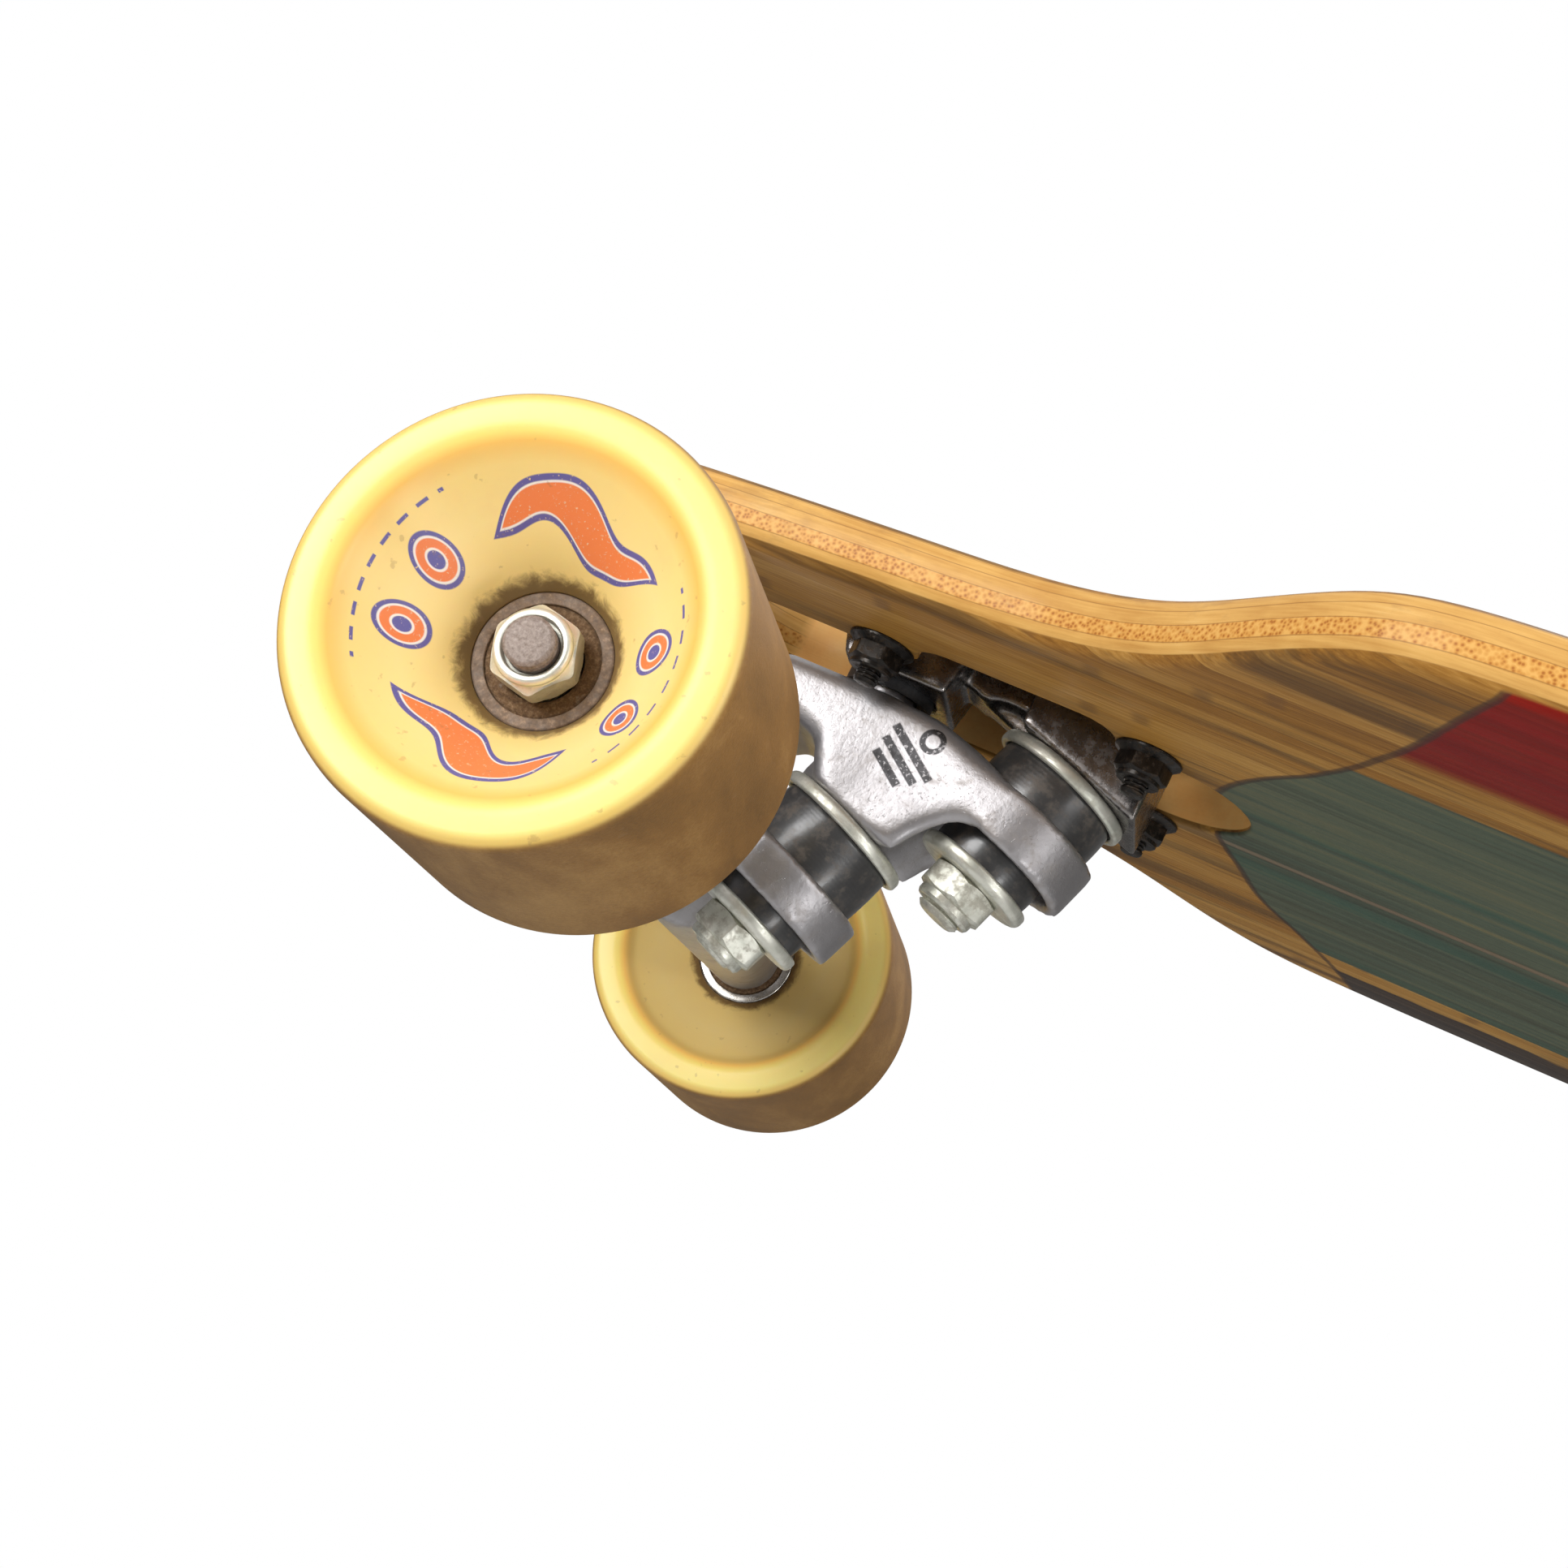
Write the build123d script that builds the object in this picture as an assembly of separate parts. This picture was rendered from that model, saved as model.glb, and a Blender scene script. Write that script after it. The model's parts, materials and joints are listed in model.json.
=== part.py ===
"""Drop-through longboard with two-stage trucks, as separate solids in one frame.

Frame: origin on the ground under the middle of the deck, +X towards the rear truck,
+Y across the deck, +Z up. Each truck is modelled around the centre of its bolt pattern
on the deck's underside ("truck frame", +X towards the middle of the board).
"""

import os
from math import asin, cos, degrees, radians, sin

from build123d import *

# Deck
DECK_HALF_LENGTH = 463.0
DECK_HALF_WIDTH = 111.0
DECK_VENEER = 1.0
DECK_THICKNESS = 12.0
GRIP_THICKNESS = 1.0
GRIP_INSET = 3.0
FLAT_HALF_WIDTH = 62.0
RAIL_RISE = 3.6
DECK_UNDERSIDE_Z = -1.2  # deck underside below the castings' datum
TRUCK_X = 338.0
SLOT_HALF_WIDTH = 17.3
SLOT_WIDE_HALF_WIDTH = 27.3
SLOT_INBOARD_END = 47.6
SLOT_OUTBOARD_END = -66.0
SLOT_WIDE_INBOARD = 20.0
SLOT_WIDE_OUTBOARD = -20.0

# Bolt pattern and mounting hardware
BOLT_HALF_X = 27.0
BOLT_HALF_Y = 20.64
BOLT_RADIUS = 2.38
BOLT_HOLE_RADIUS = 2.7
BOLT_HEAD_RADIUS = 4.6
BOLT_TIP_LENGTH = 8.6  # how far the bolts stand out below the deck
LOCKNUT_ACROSS_FLATS = 9.5
LOCKNUT_HEIGHT = 6.0
FLANGE_RADIUS = 6.6
FLANGE_THICKNESS = 1.4
LOCKNUT_COLLAR = 1.2

# Wheels, bearings and axle
WHEEL_RADIUS = 34.5
LIP_RADIUS = 33.4
DISH_RADIUS = 26.7
DISH_STEP = 3.0
DISH_FOOT_RADIUS = 13.0
BEARING_RADIUS = 11.0
BEARING_WIDTH = 7.0
BALL_RADIUS = 1.98
BALL_PITCH_RADIUS = 7.5
BALLS = 7
RACE_STEP = 9.0
INNER_RACE_RADIUS = 6.1
SPEED_WASHER_RADIUS = 6.3
SPACER_RADIUS = 5.4
SPACER_LENGTH = 10.5
AXLE_RADIUS = 3.97
AXLE_HALF_LENGTH = 124.0
AXLE_NUT_FLATS = 12.7
AXLE_NUT_HEX = 4.4
AXLE_NUT_HEIGHT = 6.2
AXLE_NUT_COLLAR = 5.6
HANGER_HALF_WIDTH = 89.6
WASHER_THICKNESS = 0.8
INNER_LIP = 9.6
OUTER_LIP = 20.6
AXLE_X = -49.9
AXLE_Z = -50.65
GROUND_CLEARANCE = WHEEL_RADIUS - AXLE_Z

# Kingpin stacks: tilt from the vertical, ring centres, and heights along the kingpin
# measured from the ring's centre
UPPER_TILT = 19.0
LOWER_TILT = 21.5
UPPER_RING = (7.7, -21.0)
LOWER_RING = (-28.7, -48.0)
KINGPIN_RADIUS = 4.7
RING_RADIUS = 16.3
RING_HOLE_RADIUS = 7.5
SEAT_RADIUS = 13.6
BRIDGE_RING = (-5.6, 5.0)
BRIDGE_RING_WEB = 1.9  # half the thickness left between the two bushing seats
HANGER_RING = (-4.7, 4.7)
HANGER_RING_WEB = 1.6
CUP_WASHER_RADIUS = 15.0
SMALL_WASHER_RADIUS = 12.6
WASHER_PLATE = 1.5
WASHER_RIM = 1.3
BUSHING_GAP = 0.2
ROAD_BUSHING_RADIUS = 11.2
UPPER_NUT_TOP = -12.4
LOWER_NUT_TOP = -10.6
UPPER_TIP = -21.5
LOWER_TIP = -18.6
KINGPIN_HEAD_FLATS = 12.7
KINGPIN_HEAD_HEIGHT = 4.4
KINGPIN_NUT_FLATS = 14.3
NUT_HEX_HEIGHT = 5.2
NUT_HEIGHT = 7.4
INSERT_RADIUS = 6.3
RUNNING_CLEARANCE = 0.06
FLARE_TOP = -5.6  # the space under a ring widens below here, so its washer clears when it steers
FLARE_BOTTOM = -30.0
FLARE_RADIUS = 18.5

# Pivots: a ball on the moving casting in a plastic cup
PIVOT_REACH = 38.5
STEER_SLOPE = 28.0
BALL_END_RADIUS = 6.0
CUP_RADIUS = 9.0
CUP_DEPTH = 8.0
CUP_MOUTH = 2.4
CUP_MOUTH_RADIUS = 8.2
CUP_THROAT_RADIUS = 5.4
STEM_RADIUS = 3.6
BRIDGE_STEM = 9.0
HANGER_STEM = 14.0

# Baseplate
FLANGE_HALF_X = 39.0
FLANGE_HALF_Y = 31.0
FLANGE_HEIGHT = 5.0
BODY_HALF_WIDTH = 13.5
BLOCK_HALF_WIDTH = 13.0
BLOCK_BOTTOM_Z = -3.4
BOSS_FACE = 15.2  # height of the boss above the upper ring, along the kingpin
UPPER_HEAD_SEAT = 29.0
FLANGE_CORNER = 9.0
WEB_HALF_WIDTH = 6.0
ROUNDEL_RADIUS = 8.6
HEAD_WELL_RADIUS = 8.4

# Bridge (the link between baseplate and hanger)
BRIDGE_HALF_WIDTH = 14.0
BRIDGE_TOP_Z = -7.2
CASTING_CORNER = 1.5
CASTING_EDGE = 3.2
SEAT_FACE = 17.8  # height of the lower kingpin's seat above the lower ring
LOWER_HEAD_SEAT = 35.0
SEAT_BOSS_RADIUS = 13.6
SEAT_BOSS_TOP = 27.0
SEAT_WELL_RADIUS = 9.0

# Hanger
ARM_ROOT_RADIUS = 11.0
ARM_TIP_RADIUS = 8.2
ARM_ROOT = 16.0
GUSSET_HALF_THICKNESS = 4.2
NECK_HALF_WIDTH = 9.0

# Names of the trucks and sides, with their directions along X and Y
TRUCKS = {"front": -1, "rear": 1}
SIDES = {"left": -1, "right": 1}


# ---------------------------------------------------------------- helpers
def stack(ring, tilt):
    """Frame at a ring's centre with +Z up its kingpin and +X inboard."""
    return Pos(ring[0], 0, ring[1]) * Rot(0, tilt, 0)


def pivot_point(ring):
    """Centre of the pivot ball, up and outboard of the ring along the steering axis."""
    slope = radians(STEER_SLOPE)
    return (ring[0] - PIVOT_REACH * cos(slope), ring[1] + PIVOT_REACH * sin(slope))


def disc(radius, bottom, top, hole=0.0):
    """Round plate or tube between two heights on the local Z axis."""
    upwards = (Align.CENTER, Align.CENTER, Align.MIN)
    plate = Cylinder(radius, top - bottom, align=upwards)
    if hole:
        plate -= Cylinder(hole, top - bottom, align=upwards)
    return Pos(0, 0, bottom) * plate


def hex_prism(flats, bottom, top):
    """Hexagonal prism between two heights on the local Z axis."""
    outline = RegularPolygon(flats / 2, 6, major_radius=False)
    return Pos(0, 0, bottom) * extrude(outline, top - bottom)


def washer_space(seat):
    """Room below a ring for its road-side washer: straight at first, then flared."""
    flare = Cone(
        FLARE_RADIUS,
        SEAT_RADIUS,
        FLARE_TOP - FLARE_BOTTOM,
        align=(Align.CENTER, Align.CENTER, Align.MIN),
    )
    return disc(SEAT_RADIUS, FLARE_TOP - 1, seat) + Pos(0, 0, FLARE_BOTTOM) * flare


def side_plate(points, half_width, corner=0.0):
    """Plate with the given outline in the XZ plane, centred on Y."""
    outline = Polygon(*[(x, z) for x, z in points], align=None)
    if corner:
        outline = fillet(outline.vertices(), corner)
    return extrude(Plane.XZ * outline, half_width, both=True)


def soft_plate(points, half_width, corner, edge):
    """Side plate with rounded corners and its long edges rounded over."""
    plate = side_plate(points, half_width, corner)
    rims = [rim for rim in plate.edges() if abs(abs(rim.center().Y) - half_width) < 0.01]
    return fillet(rims, edge)


def along_axle(shape):
    """Turns a shape made on the local Z axis to lie on the axle line."""
    return Pos(AXLE_X, 0, AXLE_Z) * Rot(-90, 0, 0) * shape


def mirrored_y(shape):
    return mirror(shape, Plane.XZ)


def both_sides(shape):
    """The shape and its mirror image across the board, as one group."""
    return Compound([*shape.solids(), *mirrored_y(shape).solids()])


# ---------------------------------------------------------------- deck
def rail_arc_radius():
    reach = DECK_HALF_WIDTH - FLAT_HALF_WIDTH
    return (reach**2 + RAIL_RISE**2) / (2 * RAIL_RISE)


def layer_band(bottom, top):
    """Long band with the deck's concave section, between two depths of the laminate."""
    bend = rail_arc_radius()
    sweep = degrees(asin((DECK_HALF_WIDTH + 6 - FLAT_HALF_WIDTH) / bend))
    low = bend - bottom
    high = bend - top
    with BuildPart() as band:
        with BuildSketch(Plane.YZ):
            with BuildLine():
                flat = Line((-FLAT_HALF_WIDTH, bottom), (FLAT_HALF_WIDTH, bottom))
                rail = CenterArc((FLAT_HALF_WIDTH, bend), low, -90, sweep)
                roof = CenterArc((FLAT_HALF_WIDTH, bend), high, -90, sweep)
                Line(rail @ 1, roof @ 1)
                Line(roof @ 0, (-FLAT_HALF_WIDTH, top))
                far_roof = CenterArc((-FLAT_HALF_WIDTH, bend), high, -90, -sweep)
                far_rail = CenterArc((-FLAT_HALF_WIDTH, bend), low, -90, -sweep)
                Line(far_roof @ 1, far_rail @ 1)
            make_face()
        extrude(amount=DECK_HALF_LENGTH + 5, both=True)
    return band.part


def deck_outline(inset=0.0):
    """Half widths from the middle to the tip: straight, flare, waist, round nose."""
    tip = DECK_HALF_LENGTH - inset
    waist = [
        (TRUCK_X - 96, DECK_HALF_WIDTH),
        (TRUCK_X - 76, 109.4),
        (TRUCK_X - 60, 105.0),
        (TRUCK_X - 47, 95.0),
        (TRUCK_X - 35, 82.0),
        (TRUCK_X - 22, 69.0),
        (TRUCK_X - 5, 59.5),
        (TRUCK_X + 20, 54.0),
        (TRUCK_X + 60, 47.0),
        (TRUCK_X + 92, 38.5),
        (TRUCK_X + 114, 24.0),
    ]
    waist = [(x, half_width - inset) for x, half_width in waist] + [(tip, 0.0)]
    with BuildSketch() as quarter:
        with BuildLine():
            Line((0, 0), (0, DECK_HALF_WIDTH - inset))
            Line((0, DECK_HALF_WIDTH - inset), waist[0])
            Spline(*waist, tangents=((1, 0), (0, -1)))
            Line(waist[-1], (0, 0))
        make_face()
    half = quarter.sketch + mirror(quarter.sketch, Plane.YZ)
    return half + mirror(half, Plane.XZ)


def slot_outline(end):
    """Drop-through slot of one truck: a long narrow slot with a wider middle."""
    length = SLOT_INBOARD_END - SLOT_OUTBOARD_END
    middle = (SLOT_INBOARD_END + SLOT_OUTBOARD_END) / 2
    narrow = Pos(middle, 0) * SlotOverall(length, 2 * SLOT_HALF_WIDTH)
    wide_length = SLOT_WIDE_INBOARD - SLOT_WIDE_OUTBOARD
    wide_middle = (SLOT_WIDE_INBOARD + SLOT_WIDE_OUTBOARD) / 2
    wide = Pos(wide_middle, 0) * RectangleRounded(wide_length, 2 * SLOT_WIDE_HALF_WIDTH, 7)
    slot = narrow + wide
    turn = 0 if end < 0 else 180
    return Pos(end * TRUCK_X, 0) * Rot(0, 0, turn) * slot


def deck_layers():
    """Bottom veneer, core, top veneer and grip tape, all with the slots and holes."""
    depths = {
        "deck_bottom_ply": (0, DECK_VENEER),
        "deck_core": (DECK_VENEER, DECK_THICKNESS - DECK_VENEER),
        "deck_top_ply": (DECK_THICKNESS - DECK_VENEER, DECK_THICKNESS),
        "grip_tape": (DECK_THICKNESS, DECK_THICKNESS + GRIP_THICKNESS),
    }
    layers = {}
    for name, (bottom, top) in depths.items():
        edge = deck_outline(GRIP_INSET if name == "grip_tape" else 0.0)
        prism = Pos(0, 0, -5) * extrude(edge, 40)
        layer = layer_band(bottom, top) & prism
        for end in TRUCKS.values():
            layer -= Pos(0, 0, -5) * extrude(slot_outline(end), 40)
            for x in (-BOLT_HALF_X, BOLT_HALF_X):
                for y in (-BOLT_HALF_Y, BOLT_HALF_Y):
                    layer -= Pos(end * TRUCK_X + x, y, 0) * disc(BOLT_HOLE_RADIUS, -5, 35)
            if name == "grip_tape":
                recess = Box(2 * FLANGE_HALF_X + 1, 2 * FLANGE_HALF_Y + 1, 40)
                layer -= Pos(end * TRUCK_X, 0, 0) * recess
        layers[name] = Pos(0, 0, GROUND_CLEARANCE + DECK_UNDERSIDE_Z) * layer
    return layers


# ---------------------------------------------------------------- truck castings
def baseplate():
    """Flange on the deck with a body that hangs through the slot."""
    seat = DECK_UNDERSIDE_Z + DECK_THICKNESS
    top = seat + FLANGE_HEIGHT
    outline = RectangleRounded(2 * FLANGE_HALF_X, 2 * FLANGE_HALF_Y, FLANGE_CORNER)
    flange = extrude(outline, FLANGE_HEIGHT)
    flange = fillet(flange.edges().group_by(Axis.Z)[-1], 1.5)
    block = [(-37, seat + 1), (-37, 2), (-35, BLOCK_BOTTOM_Z), (-14, BLOCK_BOTTOM_Z), (-11, seat + 1)]
    pivot_block = side_plate(block, BLOCK_HALF_WIDTH)
    boss = side_plate([(2, seat + 1), (2, -40), (28, -40), (29, 0), (29, seat + 1)], BODY_HALF_WIDTH)
    keep = stack(UPPER_RING, UPPER_TILT) * (Pos(0, 0, BOSS_FACE + 40) * Box(120, 60, 80))
    web = side_plate([(-16, seat + 1), (-14, -2.5), (4, -6), (8, seat + 1)], WEB_HALF_WIDTH)
    body = pivot_block + (boss & keep) + (web & keep)
    px, pz = pivot_point(UPPER_RING)
    plate = Pos(0, 0, seat) * flange + body
    plate -= Pos(px, 0, pz) * disc(CUP_RADIUS, -20, CUP_DEPTH)
    for side in SIDES.values():
        roundel = Pos(-2.5, side * WEB_HALF_WIDTH, -7.0) * Rot(90, 0, 0) * Cylinder(ROUNDEL_RADIUS, 5.0)
        plate -= roundel
    hub = stack(UPPER_RING, UPPER_TILT)
    plate -= hub * disc(KINGPIN_RADIUS, 0, 60)
    plate -= hub * disc(HEAD_WELL_RADIUS, UPPER_HEAD_SEAT, 60)
    for x in (-BOLT_HALF_X, BOLT_HALF_X):
        for y in (-BOLT_HALF_Y, BOLT_HALF_Y):
            plate -= Pos(x, y, 0) * disc(BOLT_HOLE_RADIUS, seat - 1, top + 1)
    return plate


def bridge():
    """Cast link: ring on the upper kingpin, seat of the lower one, arm to the pivot block."""
    ring_frame = stack(UPPER_RING, UPPER_TILT)
    seat_frame = stack(LOWER_RING, LOWER_TILT)
    px, pz = pivot_point(UPPER_RING)
    qx, qz = pivot_point(LOWER_RING)
    cheek = soft_plate(
        [
            (12.0, -15.6),
            (-0.5, -11.4),
            (-11.9, -8.2),
            (-23.5, BRIDGE_TOP_Z),
            (-44.0, BRIDGE_TOP_Z),
            (-56.0, -10.5),
            (-70.0, -18.0),
            (-73.5, -24.0),
            (-73.5, -33.0),
            (-51.5, -33.0),
            (-47.0, -24.5),
            (-38.0, -19.0),
            (-33.0, -21.0),
            (-28.5, -32.0),
            (-10.5, -38.5),
            (-6.2, -31.2),
            (-1.5, -27.6),
            (4.0, -27.0),
        ],
        BRIDGE_HALF_WIDTH,
        CASTING_CORNER,
        CASTING_EDGE,
    )
    seat = seat_frame * disc(SEAT_BOSS_RADIUS, SEAT_FACE, SEAT_BOSS_TOP)
    ring = ring_frame * disc(RING_RADIUS, *BRIDGE_RING)
    body = cheek + seat + ring
    body -= seat_frame * (Pos(0, 0, SEAT_FACE - 30) * Box(44, 60, 60))
    body -= ring_frame * disc(SEAT_RADIUS, BRIDGE_RING_WEB, 30)
    body -= ring_frame * washer_space(-BRIDGE_RING_WEB)
    body -= ring_frame * disc(RING_HOLE_RADIUS, -30, 30)
    body -= seat_frame * disc(KINGPIN_RADIUS, 0, 60)
    body -= seat_frame * disc(SEAT_WELL_RADIUS, LOWER_HEAD_SEAT, 60)
    body -= Pos(qx, 0, qz) * disc(CUP_RADIUS, -20, CUP_DEPTH)
    body += Pos(px, 0, pz) * Sphere(BALL_END_RADIUS)
    body += Pos(px, 0, pz) * disc(STEM_RADIUS, -BRIDGE_STEM, 0)
    return body


def hanger():
    """Cast axle housing with its bushing ring and pivot ball."""
    ring_frame = stack(LOWER_RING, LOWER_TILT)
    qx, qz = pivot_point(LOWER_RING)
    arm = Cone(
        ARM_ROOT_RADIUS,
        ARM_TIP_RADIUS,
        HANGER_HALF_WIDTH - ARM_ROOT,
        align=(Align.CENTER, Align.CENTER, Align.MIN),
    )
    arm = Pos(0, 0, ARM_ROOT) * arm
    middle = Cylinder(ARM_ROOT_RADIUS, 2 * ARM_ROOT)
    tube = along_axle(middle + arm + mirror(arm, Plane.XY))
    ring = ring_frame * disc(RING_RADIUS, *HANGER_RING)
    rim = [(-50, -52), (-34, -17), (-26, -15), (-26, 15), (-34, 17), (-50, 52)]
    gusset = Polygon(*rim, align=None)
    web = extrude(gusset, GUSSET_HALF_THICKNESS, both=True)
    web = ring_frame * Pos(-LOWER_RING[0], 0, 0) * web
    spine = [
        (-67.0, -41.0),
        (-60.0, -39.6),
        (-50.0, -40.0),
        (-42.0, -43.0),
        (-42.0, -54.0),
        (-50.0, -60.0),
        (-60.0, -55.0),
        (-66.0, -46.0),
    ]
    neck = side_plate(spine, NECK_HALF_WIDTH)
    body = tube + ring + web + neck
    body -= ring_frame * disc(SEAT_RADIUS, HANGER_RING_WEB, 30)
    body -= ring_frame * washer_space(-HANGER_RING_WEB)
    body -= ring_frame * disc(RING_HOLE_RADIUS, -30, 30)
    body += Pos(qx, 0, qz) * Sphere(BALL_END_RADIUS)
    body += Pos(qx, 0, qz) * disc(STEM_RADIUS, -HANGER_STEM, 0)
    body -= along_axle(Cylinder(AXLE_RADIUS, 2 * HANGER_HALF_WIDTH + 2))
    return body


def pivot_cup(ring):
    """Plastic cup with a round seat and a wide conical mouth, pressed in its block."""
    px, pz = pivot_point(ring)
    cup = disc(CUP_RADIUS, -CUP_MOUTH, CUP_DEPTH)
    cup -= Sphere(BALL_END_RADIUS + RUNNING_CLEARANCE)
    mouth = Cone(
        CUP_MOUTH_RADIUS,
        CUP_THROAT_RADIUS,
        CUP_MOUTH,
        align=(Align.CENTER, Align.CENTER, Align.MIN),
    )
    cup -= Pos(0, 0, -CUP_MOUTH) * mouth
    return Pos(px, 0, pz) * cup


# ---------------------------------------------------------------- kingpin stacks
def kingpin(frame, head_seat, tip):
    """Hex-headed bolt with its head seated in the casting."""
    shank = disc(KINGPIN_RADIUS, tip, head_seat)
    shank = chamfer(shank.edges().group_by(Axis.Z)[0], 1.0)
    head = hex_prism(KINGPIN_HEAD_FLATS, head_seat, head_seat + KINGPIN_HEAD_HEIGHT)
    return frame * (shank + head)


def cup_washer(radius, face, towards):
    """Dished washer: its flat face at a height, its rim turned towards the bushing."""
    plate = disc(radius, 0, WASHER_PLATE, KINGPIN_RADIUS)
    rim = disc(radius, WASHER_PLATE, WASHER_PLATE + WASHER_RIM, radius - WASHER_RIM)
    washer = plate + rim
    outer = washer.edges().filter_by(GeomType.CIRCLE).sort_by(SortBy.RADIUS)[-2:]
    washer = fillet(outer, 0.6)
    if towards < 0:
        washer = mirror(washer, Plane.XY)
    return Pos(0, 0, face) * washer


def washers(frame, upper_face, lower_face):
    upper = frame * cup_washer(CUP_WASHER_RADIUS, upper_face, -1)
    lower = frame * cup_washer(SMALL_WASHER_RADIUS, lower_face, 1)
    return Compound([*upper.solids(), *lower.solids()])


def bushing(frame, bottom, top, radius):
    """Barrel bushing with softly rounded ends."""
    barrel = disc(radius, bottom, top, KINGPIN_RADIUS + 0.1)
    outer = barrel.edges().filter_by(GeomType.CIRCLE).sort_by(SortBy.RADIUS)[-2:]
    return frame * fillet(outer, 0.7)


def board_bushing(frame, seat, washer_face):
    """Larger bushing between the ring and the washer above it."""
    return bushing(frame, seat, washer_face - WASHER_PLATE, SEAT_RADIUS - BUSHING_GAP)


def road_bushing(frame, washer_face, seat):
    """Smaller bushing between the washer above the nut and the ring."""
    return bushing(frame, washer_face + WASHER_PLATE, seat, ROAD_BUSHING_RADIUS)


def kingpin_nut(frame, top):
    """Nylon-insert nut: hexagon with a round collar below it."""
    shoulder = top - NUT_HEX_HEIGHT
    body = hex_prism(KINGPIN_NUT_FLATS, shoulder, top) & disc(8.1, shoulder, top)
    collar = disc(INSERT_RADIUS, top - NUT_HEIGHT, shoulder)
    return frame * (body + collar - disc(KINGPIN_RADIUS, top - 12, top + 1))


# ---------------------------------------------------------------- axle group
def axle():
    rod = Cylinder(AXLE_RADIUS, 2 * AXLE_HALF_LENGTH)
    return along_axle(chamfer(rod.edges(), 0.8))


def bearing_face():
    """Distance from the middle of the board to the inner face of the inner bearing."""
    return HANGER_HALF_WIDTH + WASHER_THICKNESS


def bearing_starts():
    inner = bearing_face()
    return inner, inner + BEARING_WIDTH + SPACER_LENGTH


def ball_track():
    return Torus(BALL_PITCH_RADIUS, BALL_RADIUS + 0.08)


def outer_race():
    race = disc(BEARING_RADIUS, 0, BEARING_WIDTH, RACE_STEP)
    return race - Pos(0, 0, BEARING_WIDTH / 2) * ball_track()


def inner_race():
    race = disc(INNER_RACE_RADIUS, 0, BEARING_WIDTH, AXLE_RADIUS)
    return race - Pos(0, 0, BEARING_WIDTH / 2) * ball_track()


def balls():
    """One ring of balls, evenly spaced on the pitch circle."""
    turns = [Rot(0, 0, 360 / BALLS * i) for i in range(BALLS)]
    place = Pos(BALL_PITCH_RADIUS, 0, BEARING_WIDTH / 2)
    return [turn * place * Sphere(BALL_RADIUS) for turn in turns]


def wheel():
    """Urethane wheel as a turned profile, its radius along X and the axle along Z."""
    inner = bearing_face()
    outer = inner + 2 * BEARING_WIDTH + SPACER_LENGTH
    low = inner - INNER_LIP
    high = outer + OUTER_LIP
    corner = WHEEL_RADIUS - LIP_RADIUS
    with BuildPart() as tyre:
        with BuildSketch(Plane.XZ):
            with BuildLine():
                Polyline(
                    (BEARING_RADIUS, inner),
                    (DISH_FOOT_RADIUS, inner - 1.2),
                    (DISH_RADIUS - 0.8, low + DISH_STEP),
                    (DISH_RADIUS, low),
                    (LIP_RADIUS - 1.2, low),
                )
                Spline(
                    (LIP_RADIUS - 1.2, low),
                    (LIP_RADIUS + 0.4, low + 1.2),
                    (WHEEL_RADIUS, low + 4.5 * corner),
                    tangents=((1, 0), (0, 1)),
                )
                Line((WHEEL_RADIUS, low + 4.5 * corner), (WHEEL_RADIUS, high - 4.5 * corner))
                Spline(
                    (WHEEL_RADIUS, high - 4.5 * corner),
                    (LIP_RADIUS + 0.4, high - 1.2),
                    (LIP_RADIUS - 1.2, high),
                    tangents=((0, 1), (-1, 0)),
                )
                Polyline(
                    (LIP_RADIUS - 1.2, high),
                    (DISH_RADIUS, high),
                    (DISH_RADIUS - 0.8, high - DISH_STEP),
                    (DISH_FOOT_RADIUS, outer + 2.4),
                    (BEARING_RADIUS, outer),
                    (BEARING_RADIUS, outer - BEARING_WIDTH),
                    (BEARING_RADIUS - 1.6, outer - BEARING_WIDTH),
                    (BEARING_RADIUS - 1.6, inner + BEARING_WIDTH),
                    (BEARING_RADIUS, inner + BEARING_WIDTH),
                    (BEARING_RADIUS, inner),
                )
            make_face()
        revolve(axis=Axis.Z)
    return tyre.part


def axle_nut():
    start = bearing_face() + 2 * BEARING_WIDTH + SPACER_LENGTH + WASHER_THICKNESS
    shoulder = start + AXLE_NUT_HEX
    hexagon = hex_prism(AXLE_NUT_FLATS, start, shoulder) & disc(7.1, start, shoulder)
    collar = disc(AXLE_NUT_COLLAR, shoulder, start + AXLE_NUT_HEIGHT)
    return hexagon + collar - disc(AXLE_RADIUS, start - 1, start + 8)


def axle_group():
    """Everything on the axle line; one entry per node, in the truck frame."""
    inner, outer = bearing_starts()
    washer = disc(SPEED_WASHER_RADIUS, 0, WASHER_THICKNESS, AXLE_RADIUS)
    washer_starts = (HANGER_HALF_WIDTH, outer + BEARING_WIDTH)
    speed_washers = [Pos(0, 0, start) * washer for start in washer_starts]
    inner_races = [Pos(0, 0, start) * inner_race() for start in (inner, outer)]
    outer_races = [Pos(0, 0, start) * outer_race() for start in (inner, outer)]
    ball_rings = [Pos(0, 0, start) * ball for start in (inner, outer) for ball in balls()]
    spacer = Pos(0, 0, inner + BEARING_WIDTH) * disc(SPACER_RADIUS, 0, SPACER_LENGTH, AXLE_RADIUS)
    right = {
        "wheel": wheel(),
        "bearing_outer_races": Compound(outer_races),
        "bearing_balls": Compound(ball_rings),
    }
    pieces = {
        "axle": axle(),
        "axle_nuts": both_sides(along_axle(axle_nut())),
        "speed_washers": both_sides(along_axle(Compound(speed_washers))),
        "bearing_inner_races": both_sides(along_axle(Compound(inner_races))),
        "bearing_spacers": both_sides(along_axle(spacer)),
    }
    for name, shape in right.items():
        placed = along_axle(shape)
        pieces["right_" + name] = placed
        pieces["left_" + name] = mirrored_y(placed)
    return pieces


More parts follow.
